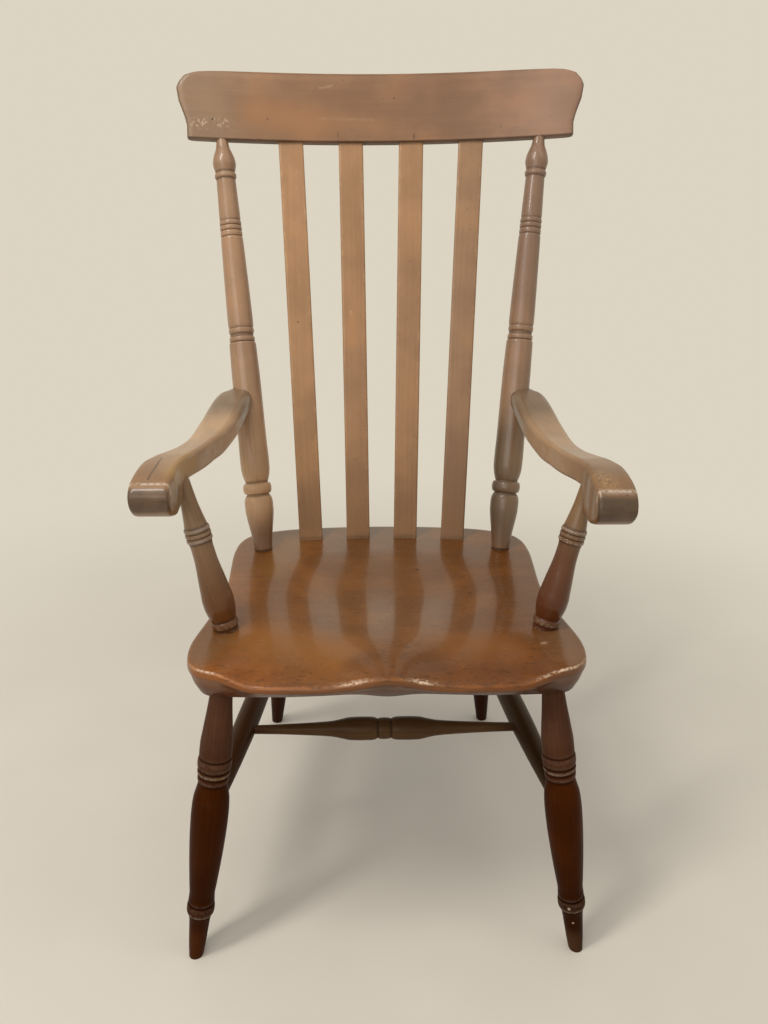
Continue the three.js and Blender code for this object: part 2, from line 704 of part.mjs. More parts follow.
  // Wedges
  const stileStart = -stileFoot.distanceTo(atHeight(stileFoot, stileHead, seatUnderside));
  const postStart = -postFoot.distanceTo(atHeight(postFoot, postHead, seatUnderside));
  const stileWedge = [stile.placement, stileStart, stileTenonDiameter];
  const postWedge = [post.placement, postStart, postTenonDiameter];
  const stileSolid = cut(
    stile.solid(), peg.hole(), armTenon.hole(), wedgeSolid(...stileWedge, fitGap), underSeatSlab);
  const postSolid = cut(post.solid(), wedgeSolid(...postWedge, fitGap), underSeatSlab);
  back.add(piece(`stile_${name}`, 'stile', stileSolid, stile.placement));
  arms.add(piece(`arm_post_${name}`, 'post', postSolid, post.placement));
  base.add(piece(`wedge_stile_${name}`, 'wedge',
    cut(wedgeSolid(...stileWedge), underSeatSlab), stile.placement));
  base.add(piece(`wedge_post_${name}`, 'wedge',
    cut(wedgeSolid(...postWedge), underSeatSlab), post.placement));
}

// Cross stretcher, between points on the side stretchers' lines
const crossEnds = sideLines.map(({ frontEnd, rearEnd }) => (
  frontEnd.clone().lerp(rearEnd, crossStretcherPlaceShare)));
const crossLength = crossEnds[0].distanceTo(crossEnds[1]);
const crossBead = profile([crossBeadShares], crossLength / 2, crossStretcherDiameter);
const crossHalf = profile(crossStretcherShares, crossLength / 2, crossStretcherDiameter);
const crossOther = [...crossHalf].reverse().map(([along, diameter]) => [-along, diameter]);
const crossInner = [...crossOther, ...crossBead, ...crossHalf].map(
  ([along, diameter]) => [along + crossLength / 2, diameter]);
const crossStop = stretcherStopShare * sideStretcherDiameter;
const crossStretcher = stretcher(
  crossEnds[0],
  crossEnds[1],
  crossInner,
  crossLength,
  crossStretcherEndShare * crossStretcherDiameter,
  [crossStop, crossStop],
);
base.add(piece('cross_stretcher', 'stretcher', crossStretcher.solid(), crossStretcher.placement));
for (const { name, member } of sideLines) {
  const solid = cut(member.solid(), crossStretcher.hole());
  base.add(piece(`side_stretcher_${name}`, 'stretcher', solid, member.placement));
}

// Laths
lathPlaceShares.forEach((place, index) => {
  seatHoles.push(lathSolid(place, fitGap));
  crestHoles.push(lathSolid(place, fitGap));
  back.add(piece(`lath_${index + 1}`, 'lath', lathSolid(place)));
});

const crestPlacement = standingAt(onCrest(0, 0, 0));
const seatPlacement = standingAt(point(0, 0, seatHeight));
back.add(piece('crest_rail', 'crest', cut(crestBlank(), ...crestHoles), crestPlacement));
base.add(piece('seat', 'seat', cut(seatBlank(), ...seatHoles), seatPlacement));

// The origin is on the floor, under the middle of the whole chair
const chair = new THREE.Group();
chair.add(base, back, arms);
chair.updateMatrixWorld(true);
const bounds = new THREE.Box3().setFromObject(chair, true);
const centre = bounds.getCenter(point(0, 0, 0));
chair.position.set(-centre.x, -centre.y, -bounds.min.z);

export default chair;
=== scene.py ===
import bpy
import math
import numpy as np
from mathutils import Matrix


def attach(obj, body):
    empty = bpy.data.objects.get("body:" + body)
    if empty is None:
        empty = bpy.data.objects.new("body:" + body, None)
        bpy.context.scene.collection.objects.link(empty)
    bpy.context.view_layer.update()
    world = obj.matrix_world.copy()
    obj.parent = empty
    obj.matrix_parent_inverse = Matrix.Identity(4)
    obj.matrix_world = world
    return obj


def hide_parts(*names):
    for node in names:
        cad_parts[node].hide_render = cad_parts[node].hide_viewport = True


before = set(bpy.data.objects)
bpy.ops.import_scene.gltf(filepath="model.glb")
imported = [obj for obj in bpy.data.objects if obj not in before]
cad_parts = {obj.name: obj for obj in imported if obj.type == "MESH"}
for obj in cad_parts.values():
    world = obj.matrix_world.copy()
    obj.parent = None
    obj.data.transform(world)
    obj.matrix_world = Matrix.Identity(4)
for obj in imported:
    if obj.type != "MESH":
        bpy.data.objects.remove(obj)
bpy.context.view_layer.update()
print("frame:", len(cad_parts), "nodes")

mm = 0.001
toFrame = np.array([0, -293.557, 0])  # from the maker's frame to the record's
fullTurn = 2 * math.pi


def vec(x, y, z):
    return np.array([x, y, z], float)


def lerp(a, b, t):
    return a + (b - a) * t


def unit(v):
    return v / np.linalg.norm(v)


# 0 below low, 1 above high, and a cubic ease between
def ease(value, low, high):
    t = np.clip((value - low) / (high - low), 0, 1)
    return t * t * (3 - 2 * t)


# 1 at the centre, falling off on both sides as exp(-distance squared)
def hump(value, centre, width):
    return np.exp(-(((value - centre) / width) ** 2))


# Monotone cubic through rows of [place, value, value...]: the slope at a row is the harmonic
# mean of the slopes beside it, or 0 where they turn, so the curve never overshoots a row
def curveThrough(rows, places):
    table = np.array(rows, float)
    x, y = table[:, 0], table[:, 1:]
    gap = np.diff(x)[:, None]
    slope = np.diff(y, axis=0) / gap
    product = slope[1:] * slope[:-1]
    total = slope[1:] + slope[:-1]
    inner = np.where(product > 0, 2 * product / np.where(product > 0, total, 1), 0)
    tangent = np.concatenate([slope[:1], inner, slope[-1:]])
    places = np.asarray(places, float)
    row = np.clip(np.searchsorted(x, places, "right") - 1, 0, len(gap) - 1)
    t = np.clip((places - x[row])[..., None] / gap[row], 0, 1)
    h00, h10 = (1 + 2 * t) * (1 - t) ** 2, t * (1 - t) ** 2
    h01, h11 = t * t * (3 - 2 * t), t * t * (t - 1)
    out = h00 * y[row] + h10 * gap[row] * tangent[row]
    out = out + h01 * y[row + 1] + h11 * gap[row] * tangent[row + 1]
    return out[..., 0] if out.shape[-1] == 1 else out


# Straight lines through rows of [place, value]
def linesThrough(rows, places):
    x, y = np.array(rows, float).T
    return np.interp(places, x, y)


# Points at even distances along a closed loop of points
def evenly(points, count):
    loop = np.concatenate([points, points[:1]])
    far = np.concatenate([[0], np.cumsum(np.linalg.norm(np.diff(loop, axis=0), axis=1))])
    even = np.linspace(0, far[-1], count, endpoint=False)
    return np.stack([np.interp(even, far, loop[:, n]) for n in (0, 1)], -1)


# Rings joined into a skin that is closed round each ring and by a fan at each end.
# Faces come out facing away from the inside: the signed volume settles which way round.
def closedGrid(grid, **fields):
    rings, count = grid.shape[:2]
    points = np.concatenate([grid.reshape(-1, 3), [grid[0].mean(0), grid[-1].mean(0)]])
    i = np.arange(rings - 1)[:, None] * count
    j = np.arange(count)[None, :]
    k = (j + 1) % count
    quads = np.stack([i + j, i + k, i + count + k, i + count + j], -1).reshape(-1, 4)
    j, k, last = j[0], k[0], (rings - 1) * count
    hub = np.full(count, rings * count)
    fans = [np.stack([k, j, hub], -1), np.stack([last + j, last + k, hub + 1], -1)]
    fans = np.concatenate(fans)
    halves = np.concatenate([quads[:, [0, 1, 2]], quads[:, [0, 2, 3]], fans])
    a, b, c = (points[halves[:, n]] for n in range(3))
    if np.einsum("ij,ij->i", a, np.cross(b, c)).sum() < 0:
        quads, fans = quads[:, ::-1], fans[:, ::-1]
    spread = {}
    for name, field in fields.items():
        flat = np.broadcast_to(field, (rings, count) + field.shape[2:])
        flat = flat.reshape(rings * count, -1)
        ends = [flat[:count].mean(0), flat[-count:].mean(0)]
        spread[name] = np.concatenate([flat, ends])
    return {"points": points, "quads": quads, "fans": fans, "fields": spread}


pieceTriangles = {}


def addObject(name, data):
    made = bpy.data.objects.new(name, data)
    bpy.context.scene.collection.objects.link(made)
    return made


def makeMesh(name, points, faces):
    mesh = bpy.data.meshes.new(name)
    mesh.from_pydata(points.tolist(), [], faces)
    return mesh


# Puts a skin into a mesh at the origin, hands it its fields, and lets it ride for its node
def addPiece(name, skin, look):
    faces = skin["quads"].tolist() + skin["fans"].tolist()
    mesh = makeMesh(name, (skin["points"] + toFrame) * mm, faces)
    mesh.polygons.foreach_set("use_smooth", np.ones(len(faces), bool))
    for field, values in skin["fields"].items():
        kind, part = ("FLOAT_VECTOR", "vector") if values.shape[1] == 3 else ("FLOAT", "value")
        layer = mesh.attributes.new(field, kind, "POINT")
        layer.data.foreach_set(part, values.astype(np.float32).ravel())
    mesh.update()
    mesh.validate()
    mesh.materials.append(looks[look])
    piece, slot = addObject(name + "_wood", mesh), look + "_wood"
    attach(piece, "root")
    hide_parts(name)
    pieceTriangles[name] = 2 * len(skin["quads"]) + len(skin["fans"])


# Turned members
turning = {
    "sides": 72, "rowStep": 1.5, "beadRows": 9,
    "beadPower": 0.7,  # below 1, a bead is squarer than half an ellipse
    "blur": 5.0, "blurStep": 0.5,  # how wide the mean is that tells crowns from grooves
    "crownHeight": 0.9, "grooveDepth": 0.7,
    "sawnGap": 0.3,  # a ring nearer to a sawn end than this is left out
}


# Rows of [along, radius]: a monotone curve through the rows of two, and a half round on its
# groove for each bead row of [start, end, crown, groove]
def turnedRows(shares, length, diameter):
    out, run = [], []

    def closeRun():
        if len(run) > 1:
            start, end = run[0][0], run[-1][0]
            steps = max(2, int((end - start) / turning["rowStep"]) + 1)
            places = np.linspace(start, end, steps)
            out.append(np.stack([places, curveThrough(run, places)], -1))

    for row in shares:
        if len(row) == 2:
            run.append([row[0] * length, row[1] * diameter / 2])
            continue
        start, end = row[0] * length, row[1] * length
        crown, groove = row[2] * diameter / 2, row[3] * diameter / 2
        if not run or start > run[-1][0]:
            run.append([start, groove])
        closeRun()
        turn = np.linspace(0, math.pi, turning["beadRows"])
        middle, half = (start + end) / 2, (end - start) / 2
        swell = groove + (crown - groove) * np.sin(turn) ** turning["beadPower"]
        out.append(np.stack([middle - half * np.cos(turn), swell], -1))
        run = [[end, groove]]
    closeRun()
    rows = np.concatenate(out)
    keep = np.concatenate([[True], np.diff(rows[:, 0]) > 1e-4])
    return rows[keep]


# How far each row stands above or below the mean radius beside it, as crown and groove shares
def crownsAndGrooves(rows):
    along, radius = rows.T
    even = np.arange(along[0], along[-1], turning["blurStep"])
    width = int(turning["blur"] / turning["blurStep"]) * 2 + 1
    padded = np.pad(np.interp(even, along, radius), width // 2, mode="edge")
    mean = np.convolve(padded, np.ones(width) / width, "valid")
    above = radius - np.interp(along, even, mean)
    crown = np.clip(above / turning["crownHeight"], 0, 1)
    groove = np.clip(-above / turning["grooveDepth"], 0, 1)
    return crown, groove


# Spun skin: point = start + along * axis + radius * (cos(turn) * side + sin(turn) * other).
# sawn gives the heights at which the first and last ring are cut level, or None.
def spun(rows, start, end, grainStart, sawn=(None, None)):
    axis = unit(end - start)
    side = unit(np.cross(axis, vec(0, 1, 0)))
    other = np.cross(axis, side)
    along, radius = rows[:, 0][:, None], rows[:, 1][:, None]
    turn = np.arange(turning["sides"])[None, :] / turning["sides"] * fullTurn
    u, v = radius * np.cos(turn), radius * np.sin(turn)
    grid = start + along[..., None] * axis + u[..., None] * side + v[..., None] * other
    clear = np.ones(len(rows), bool)
    for ring, height in ((0, sawn[0]), (-1, sawn[1])):
        if height is not None:
            grid[ring] += ((height - grid[ring][:, 2]) / axis[2])[:, None] * axis
            clear &= grid[..., 2].min(1) > height + turning["sawnGap"]
            clear[ring] = True
    grain = np.stack([u, v, np.broadcast_to(along, u.shape)], -1) * mm + grainStart
    crown, groove = (share[clear, None] for share in crownsAndGrooves(rows))
    # Crowns are worn and carry a painted highlight; grooves are darker
    return closedGrid(grid[clear], grain=grain[clear], wear=crown, grime=groove, glint=crown**2)


# The point at a height on the line through two points
def atHeight(start, end, height):
    return lerp(start, end, (height - start[2]) / (end[2] - start[2]))


# A value on a sheet of nodes: Python sums on it add Math nodes
class Value:
    def __init__(self, sheet, socket):
        self.sheet, self.socket = sheet, socket

    def maths(self, operation, *others):
        inputs = dict(enumerate((self, *others)))
        return self.sheet.node("Math", {"operation": operation}, inputs)

    def __add__(self, other):
        return self.maths("ADD", other)

    def __mul__(self, other):
        return self.maths("MULTIPLY", other)

    def __sub__(self, other):
        return self.maths("SUBTRACT", other)

    def __rsub__(self, other):
        return (self * -1) + other

    def __truediv__(self, other):
        return self.maths("DIVIDE", other)

    def __pow__(self, other):
        return self.maths("POWER", other)

    __radd__ = __add__
    __rmul__ = __mul__

    def clamp(self, high=1.0):
        return self.sheet.node("Clamp", {}, {"Value": self, "Max": high})

    # 0 below low, 1 above high, eased between
    def between(self, low, high):
        settings = {"interpolation_type": "SMOOTHSTEP"}
        inputs = {"Value": self, "From Min": low, "From Max": high}
        return self.sheet.node("MapRange", settings, inputs)


class Sheet:
    def __init__(self, owner):
        owner.use_nodes = True
        self.tree = owner.node_tree
        self.tree.nodes.clear()

    # Any node: its type, its settings, the values or links of its sockets, and the socket read
    def node(self, kind, settings=None, inputs=None, output=0):
        made = self.tree.nodes.new("ShaderNode" + kind)
        for name, value in (settings or {}).items():
            if name == "stops":
                ramp = made.color_ramp.elements
                while len(ramp) < len(value):
                    ramp.new(0.5)
                for stop, (place, colour) in zip(ramp, value):
                    stop.position, stop.color = place, (*colour, 1)
            else:
                setattr(made, name, value)
        for name, value in (inputs or {}).items():
            socket = made.inputs[name]
            if isinstance(value, Value):
                self.tree.links.new(value.socket, socket)
            elif socket.type == "RGBA" and len(value) == 3:
                socket.default_value = (*value, 1)
            else:
                socket.default_value = value
        return Value(self, made.outputs[output]) if len(made.outputs) else made

    def attribute(self, name, output="Fac"):
        return self.node("Attribute", {"attribute_name": name}, output=output)

    def vector(self, operation, a, b, output="Vector"):
        return self.node("VectorMath", {"operation": operation}, {0: a, 1: b}, output)

    def length(self, a):
        return self.node("VectorMath", {"operation": "LENGTH"}, {0: a}, "Value")

    def place(self):
        return self.node("TexCoord", output="Object")

    def noise(self, place, size, detail=2.0, roughness=0.55):
        inputs = {"Vector": self.vector("DIVIDE", place, size)}
        inputs.update({"Scale": 1.0, "Detail": detail, "Roughness": roughness})
        return self.node("TexNoise", {}, inputs)

    def blend(self, factor, a, b, kind="MIX"):
        settings = {"data_type": "RGBA", "blend_type": kind}
        return self.node("Mix", settings, {0: factor, 6: a, 7: b}, 2)

    def tint(self, colour, tint):
        return self.blend(1.0, colour, tint, "MULTIPLY")


# Sizes in metres of what the wood shows, the same on every piece
woodScale = {
    "fibre": (0.0012, 0.0012, 0.06), "streak": (0.0055, 0.0055, 0.26),
    "figure": (0.05, 0.05, 0.6), "pore": (0.0007, 0.0007, 0.007),
    "cloud": (0.07, 0.07, 0.07), "smear": (0.022, 0.022, 0.022), "chip": (0.006, 0.006, 0.006),
    "fleck": (0.0042, 0.0042, 0.0042), "nick": (0.0016, 0.0016, 0.011),
    "speckCell": 0.021, "bumpHeight": 0.0004,
}

# Where a noise or a field begins to show and where it shows fully, and how much each one adds
showing = {
    "pore": (0.6, 0.72), "warmCloud": (0.48, 0.75), "shadeCloud": (0.3, 0.7),
    "worn": (0.55, 1.0), "dirtAndShade": (0.1, 0.9), "nick": (0.585, 0.66), "nickWear": (0.1, 0.4),
    "speckChip": (0.42, 0.5), "speckRadius": 0.055,
    "figureBend": 26.0, "streakBend": 3.0, "ringPower": 1.5, "ringMean": 0.4,
    "warm": 0.5, "shades": ((0.86, 0.85, 0.84), (1.08, 1.08, 1.08)), "speck": 0.6,
    "smearWear": 1.3, "chipWear": 0.9, "smearGrimeAndShade": 0.5, "wornDulls": 0.6, "grimeAndShadeDulls": 0.5,
    "smearRough": 0.16, "fibreRough": 0.06, "wornRough": 0.12, "grimeAndShadeRough": 0.2,
}
# Dark colour of dirt and specks, and of painted shade on the seat's edge face and round its sockets
grimeAndShadeColour = (0.022, 0.010, 0.005)
poreColour = (0.035, 0.013, 0.004)

# What every finish has unless it says otherwise
plainFinish = {
    "ring": 0.05, "fibre": 0.07, "streak": 0.16, "ringGap": 0.005, "heart": (0.05, 0.03),
    "pore": 0.2, "coat": 0.0, "coatRoughness": 0.16, "wornDepth": 0.6, "grimeAndShadeDepth": 0.75,
    "grime": grimeAndShadeColour, "grades": (), "coatGrades": (), "marks": (),
}
soft = {"soft": 0.0}  # a mark that fades from its middle out

# What differs from one finish to the next. Colours are linear. A grade is an axis of the chair,
# where it starts and ends, and the tints there. A mark is where it starts and ends (None for a
# spot), its reach, strength and colour. Places are in metres from the chair's origin.
finishes = {
    "crest": {
        "dark": (0.185, 0.088, 0.04), "mid": (0.238, 0.12, 0.056), "light": (0.295, 0.158, 0.08),
        "warm": (0.285, 0.127, 0.05), "worn": (0.37, 0.225, 0.13), "fibre": 0.06, "streak": 0.12,
        "ringGap": 0.011, "heart": (0.055, 0.035), "pore": 0.15, "specular": 0.45,
        "roughness": 0.42, "coat": 0.15, "grimeAndShadeDepth": 0.6,
        "grades": [
            # Painted reflection: both ends of the rail paler and bluer
            ("X", -0.27, -0.1, (1.14, 1.27, 1.45), (1, 1, 1)),
            ("X", 0.08, 0.24, (1, 1, 1), (1.18, 1.33, 1.75)),
        ],
        "marks": [
            ((-0.27, 0.257, 1.095), (-0.262, 0.255, 1.06), 0.075, 0.5, (0.235, 0.165, 0.098), soft),
            ((-0.185, 0.266, 1.072), (-0.1, 0.268, 1.058), 0.055, 0.75, (0.315, 0.15, 0.058),
             {"shape": (1, 1, 1.3), "soft": 0.0}),
            ((-0.05, 0.272, 1.061), (0.0, 0.272, 1.055), 0.04, 0.5, (0.3, 0.145, 0.062),
             {"shape": (1, 1, 1.6), "soft": 0.0}),
            ((0.05, 0.284, 1.1), (0.12, 0.28, 1.06), 0.06, 0.45, (0.17, 0.088, 0.048), soft),
            ((0.25, 0.257, 1.07), (0.26, 0.257, 1.1), 0.06, 0.4, (0.35, 0.215, 0.15), soft),
            ((-0.272, 0.247, 1.057), (-0.236, 0.2525, 1.0565), 0.02, 0.75, (0.6, 0.45, 0.3),
             {"shape": (1, 1, 1.8), "soft": 0.0, "flecks": (0.53, 0.62)}),
            ((-0.2522, 0.252, 1.0625), None, 0.0024, 0.8, (0.05, 0.02, 0.01)),
            ((-0.0923, 0.284, 1.1077), (-0.0741, 0.2859, 1.1107), 0.0022, 0.4, (0.5, 0.34, 0.22),
             {"flecks": (0.45, 0.6)}),
            ((-0.0896, 0.271, 1.0655), (-0.014, 0.2745, 1.064), 0.008, 0.3, (0.4, 0.25, 0.14),
             {"shape": (1, 1, 2.0), "soft": 0.0, "flecks": (0.35, 0.6)}),
            ((0.0199, 0.2824, 1.0949), None, 0.0022, 0.7, (0.06, 0.025, 0.012)),
            ((-0.1715, 0.2634, 1.0638), None, 0.0022, 0.65, (0.06, 0.025, 0.012)),
            ((-0.0656, 0.263, 1.0385), (-0.0656, 0.2655, 1.0454), 0.0014, 0.8, (0.035, 0.014, 0.007)),
            ((0.0504, 0.264, 1.038), (0.0504, 0.2664, 1.0448), 0.0014, 0.8, (0.035, 0.014, 0.007)),
        ],
    },
    "stile": {
        "dark": (0.225, 0.118, 0.064), "mid": (0.3, 0.168, 0.094), "light": (0.38, 0.226, 0.134),
        "warm": (0.32, 0.164, 0.08), "worn": (0.37, 0.255, 0.165), "ring": 0.06, "streak": 0.14,
        "ringGap": 0.0042, "pore": 0.15, "specular": 0.5, "roughness": 0.38, "coat": 0.3,
        "coatRoughness": 0.12, "wornDepth": 0.35, "grimeAndShadeDepth": 0.45,
        "grades": [
            # Painted shade: the left stile a little paler and the right darker, as light falls from
            # the left
            ("X", 0.0, 0.1, (1.05, 1.05, 1.05), (0.82, 0.81, 0.82)),
            ("Z", 0.46, 0.52, (0.66, 0.6, 0.51), (1.55, 1.65, 1.48)),
            ("Z", 0.56, 0.72, (1, 1, 1), (0.69, 0.67, 0.74)),
        ],
        "marks": [
            # Painted shade on the upper part of the right stile
            ((0.196, 0.17, 0.88), (0.206, 0.22, 1.02), 0.11, 0.45, (0.165, 0.098, 0.072), soft),
            # Dark patch low on the right stile, under the right arm: painted shadow of the arm, and
            # wear
            ((0.17, 0.08, 0.5), (0.18, 0.115, 0.6), 0.085, 0.95, (0.092, 0.058, 0.031), soft),
        ],
    },
    "lath": {
        "dark": (0.25, 0.121, 0.049), "mid": (0.325, 0.169, 0.074), "light": (0.395, 0.22, 0.105),
        "warm": (0.34, 0.17, 0.066), "worn": (0.43, 0.255, 0.125), "fibre": 0.05, "streak": 0.12,
        "ringGap": 0.0085, "heart": (0.03, 0.045), "pore": 0.15, "specular": 0.45, "roughness": 0.4,
        "coat": 0.3,
        "grades": [
            # Painted light and shade: darker towards the seat, paler towards the crest, paler on the
            # left laths and darker on the right, as light falls from above and the left
            ("Z", 0.46, 0.62, (0.8, 0.76, 0.68), (1, 1, 1)),
            ("Z", 0.84, 0.96, (1, 1, 1), (1.08, 1.1, 1.14)),
            ("X", -0.12, -0.02, (1.1, 1.12, 1.12), (1, 1, 1)),
            ("X", 0.03, 0.12, (1, 1, 1), (0.87, 0.9, 0.97)),
        ],
        "marks": [
            # Painted shade low on the right-hand lath
            ((0.128, 0.13, 0.44), (0.13, 0.14, 0.56), 0.1, 0.45, (0.17, 0.092, 0.042), soft),
            ((-0.1302, 0.1844, 0.7748), None, 0.0026, 0.7, (0.1, 0.045, 0.02)),
            ((-0.0476, 0.194, 0.7888), (-0.047, 0.1925, 0.7848), 0.0035, 0.45, (0.5, 0.33, 0.2)),
            ((-0.0474, 0.193, 0.783), (-0.0462, 0.181, 0.742), 0.012, 0.4, (0.42, 0.2, 0.07),
             {"speckled": 0.3, "soft": 0.1}),
        ],
    },
    "arm": {
        "dark": (0.28, 0.164, 0.084), "mid": (0.355, 0.216, 0.118), "light": (0.43, 0.27, 0.155),
        "warm": (0.38, 0.205, 0.092), "worn": (0.4, 0.235, 0.115), "ring": 0.06, "streak": 0.15,
        "ringGap": 0.0065, "heart": (0.04, 0.05), "specular": 0.5, "roughness": 0.34, "coat": 0.45,
        # The pale colour is a painted highlight on the nose's arris; the olive darkening is painted
        # shade on the nose's front face and dirt at the tail's root
        "glintFlecks": (0.3, 0.62), "glint": (0.85, 0.76, 0.62), "grime": (0.034, 0.03, 0.019),
        "coatRoughness": 0.1, "wornDepth": 0.3,
        "grades": [
            ("X", -0.1, 0.1, (1.06, 1.05, 1.02), (0.86, 0.84, 0.8)),
            ("Y", -0.215, -0.09, (0.64, 0.56, 0.46), (1, 1, 1)),
            ("Y", -0.15, -0.05, (1, 1, 1), (1.18, 1.19, 1.16)),
            ("Y", 0.0, 0.07, (1, 1, 1), (0.47, 0.48, 0.51)),
        ],
        "marks": [
            ((-0.2475, -0.13, 0.652), (-0.2475, -0.19, 0.66), 0.024, 0.7, (0.44, 0.26, 0.085), soft),
            ((-0.274, -0.1535, 0.667), (-0.2749, -0.1854, 0.6654), 0.002, 0.8, (0.09, 0.045, 0.022),
             {"speckled": 0.15}),
            ((-0.2749, -0.1854, 0.6654), (-0.2776, -0.211, 0.6606), 0.002, 0.8, (0.09, 0.045, 0.022),
             {"speckled": 0.15}),
            ((0.2534, -0.194, 0.656), (0.258, -0.208, 0.652), 0.021, 0.6, (0.46, 0.27, 0.1),
             {"soft": 0.0, "flecks": (0.36, 0.66)}),
        ],
    },
    "post": {
        "dark": (0.092, 0.031, 0.0056), "mid": (0.138, 0.049, 0.0095),
        "light": (0.19, 0.073, 0.0175), "warm": (0.135, 0.046, 0.0095), "worn": (0.22, 0.12, 0.06),
        "ring": 0.06, "specular": 0.3, "roughness": 0.32, "coat": 0.3, "glintFlecks": (0.42, 0.62),
        "glint": (0.36, 0.28, 0.19), "coatRoughness": 0.1, "wornDepth": 0.35, "grimeAndShadeDepth": 0.55,
        "grades": [
            ("Z", 0.47, 0.58, (0.92, 0.86, 0.72), (1.68, 2.8, 7.0)),
            # Painted shade: the right post darker, as light falls from the left
            ("X", 0.0, 0.1, (1, 1, 1), (0.9, 0.86, 0.8)),
        ],
        "marks": [
            # Darker and redder low on the right post: partly painted shade, partly a redder tone
            ((0.212, -0.17, 0.44), (0.217, -0.16, 0.52), 0.08, 0.75, (0.082, 0.016, 0.001), soft),
        ],
    },
    "seat": {
        "dark": (0.105, 0.036, 0.0065), "mid": (0.146, 0.053, 0.01), "light": (0.19, 0.074, 0.0155),
        "warm": (0.215, 0.08, 0.0135), "worn": (0.28, 0.11, 0.022), "fibre": 0.08, "streak": 0.18,
        "ringGap": 0.013, "heart": (0.1, 0.12), "pore": 0.3, "specular": 0.4, "roughness": 0.25,
        "coat": 0.75, "glintFlecks": (0.4, 0.56), "glint": (0.8, 0.6, 0.42), "nicks": 0.8,
        "coatRoughness": 0.075,
        "grades": [
            # Painted light and shade: the left side paler and the right side darker, as light falls
            # from the left
            ("X", -0.22, -0.06, (1.45, 1.32, 1.05), (1, 1, 1)),
            ("X", 0.02, 0.16, (1, 1, 1), (0.9, 0.79, 0.45)),
            ("Y", -0.26, -0.12, (1.1, 0.98, 0.72), (1, 1, 1)),
            # Painted shade: darker on the edge face and the underside
            ("Z", 0.4, 0.422, (0.62, 0.5, 0.36), (1, 1, 1)),
        ],
        "coatGrades": [
            ("Y", -0.26, -0.14, 0.4, 1.0),
            ("X", -0.2, -0.07, 0.65, 1.0),
            ("X", 0.06, 0.18, 1.0, 0.5),
            ("Z", 0.397, 0.402, 0.05, 1.0),
        ],
        "marks": [
            ((-0.15, 0.09, 0.437), (-0.165, 0.0, 0.437), 0.05, 0.6, (0.26, 0.118, 0.026), soft),
            ((-0.16, -0.2, 0.437), (-0.06, -0.225, 0.433), 0.075, 0.65, (0.275, 0.105, 0.017),
             {"speckled": 0.3, "soft": 0.0}),
            ((0.09, -0.215, 0.433), (0.15, -0.215, 0.435), 0.055, 0.5, (0.245, 0.09, 0.015),
             {"speckled": 0.3, "soft": 0.0}),
            ((-0.225, -0.235, 0.438), (-0.215, -0.2, 0.438), 0.05, 0.7, (0.165, 0.085, 0.035), soft),
            ((0.225, -0.24, 0.438), (0.22, -0.2, 0.438), 0.05, 0.6, (0.19, 0.105, 0.05), soft),
            ((-0.04, -0.25, 0.433), (-0.015, -0.235, 0.431), 0.028, 0.45, (0.075, 0.024, 0.005), soft),
            ((0.03, -0.25, 0.433), (0.06, -0.245, 0.432), 0.028, 0.35, (0.085, 0.028, 0.006), soft),
            ((0.05, 0.007, 0.4322), (0.0535, 0.0062, 0.4322), 0.0026, 0.8, (0.035, 0.012, 0.004)),
            ((0.1217, -0.069, 0.4322), (0.1245, -0.07, 0.4322), 0.0024, 0.8, (0.035, 0.012, 0.004)),
            ((0.1975, -0.2133, 0.4375), (0.201, -0.2125, 0.4375), 0.0045, 0.55, (0.46, 0.33, 0.22),
             {"soft": 0.1}),
            ((-0.03, -0.2724, 0.4045), (-0.027, -0.2724, 0.4055), 0.0028, 0.8, (0.55, 0.38, 0.22),
             {"speckled": 0.3}),
            ((-0.245, -0.023, 0.437), (-0.1754, -0.0253, 0.4377), 0.0013, 0.6, (0.05, 0.018, 0.006),
             {"speckled": 0.15}),
            ((0.1606, -0.0287, 0.4369), (0.225, -0.0325, 0.438), 0.0013, 0.6, (0.05, 0.018, 0.006),
             {"speckled": 0.15}),
        ],
    },
    "leg": {
        "dark": (0.051, 0.0186, 0.0105), "mid": (0.0765, 0.032, 0.0165),
        "light": (0.109, 0.0544, 0.036), "warm": (0.105, 0.044, 0.022),
        # The worn colour on the ring crowns is wear and also a painted highlight
        "worn": (0.26, 0.175, 0.105), "fibre": 0.1, "specular": 0.025, "roughness": 0.34,
        "glintFlecks": (0.3, 0.58), "glint": (0.27, 0.21, 0.155), "wornDepth": 0.7,
        "grades": [
            # Darker and redder below the rings, paler and greyer above them: partly the wood's colour,
            # partly a painted reflection on the upper leg
            ("Z", 0.27, 0.34, (0.59, 0.31, 0.045), (1, 1, 1)),
            # Painted shade: darker towards the floor
            ("Z", 0.04, 0.24, (0.62, 0.62, 0.45), (1, 1, 1)),
        ],
        "marks": [
            ((0.2432, -0.3053, 0.0803), None, 0.0026, 0.9, (0.5, 0.4, 0.3)),
            ((0.2513, -0.3047, 0.0535), None, 0.0022, 0.9, (0.4, 0.28, 0.18)),
            ((-0.262, -0.303, 0.006), (-0.262, -0.303, 0.035), 0.028, 0.3, (0.13, 0.036, 0.009), soft),
            ((0.256, -0.306, 0.006), (0.252, -0.305, 0.022), 0.025, 0.35, (0.13, 0.066, 0.03), soft),
        ],
    },
    "stretcher": {
        "dark": (0.03, 0.011, 0.0032), "mid": (0.05, 0.0205, 0.0065),
        "light": (0.078, 0.035, 0.0125), "warm": (0.05, 0.019, 0.0054),
        "worn": (0.085, 0.038, 0.014), "fibre": 0.1, "specular": 0.09, "roughness": 0.36,
        "coat": 0.04, "glintFlecks": (0.35, 0.6), "glint": (0.12, 0.08, 0.05),
        "grades": [
            ("X", -0.2, -0.14, (0.78, 0.72, 0.66), (1.3, 1.6, 1.7)),
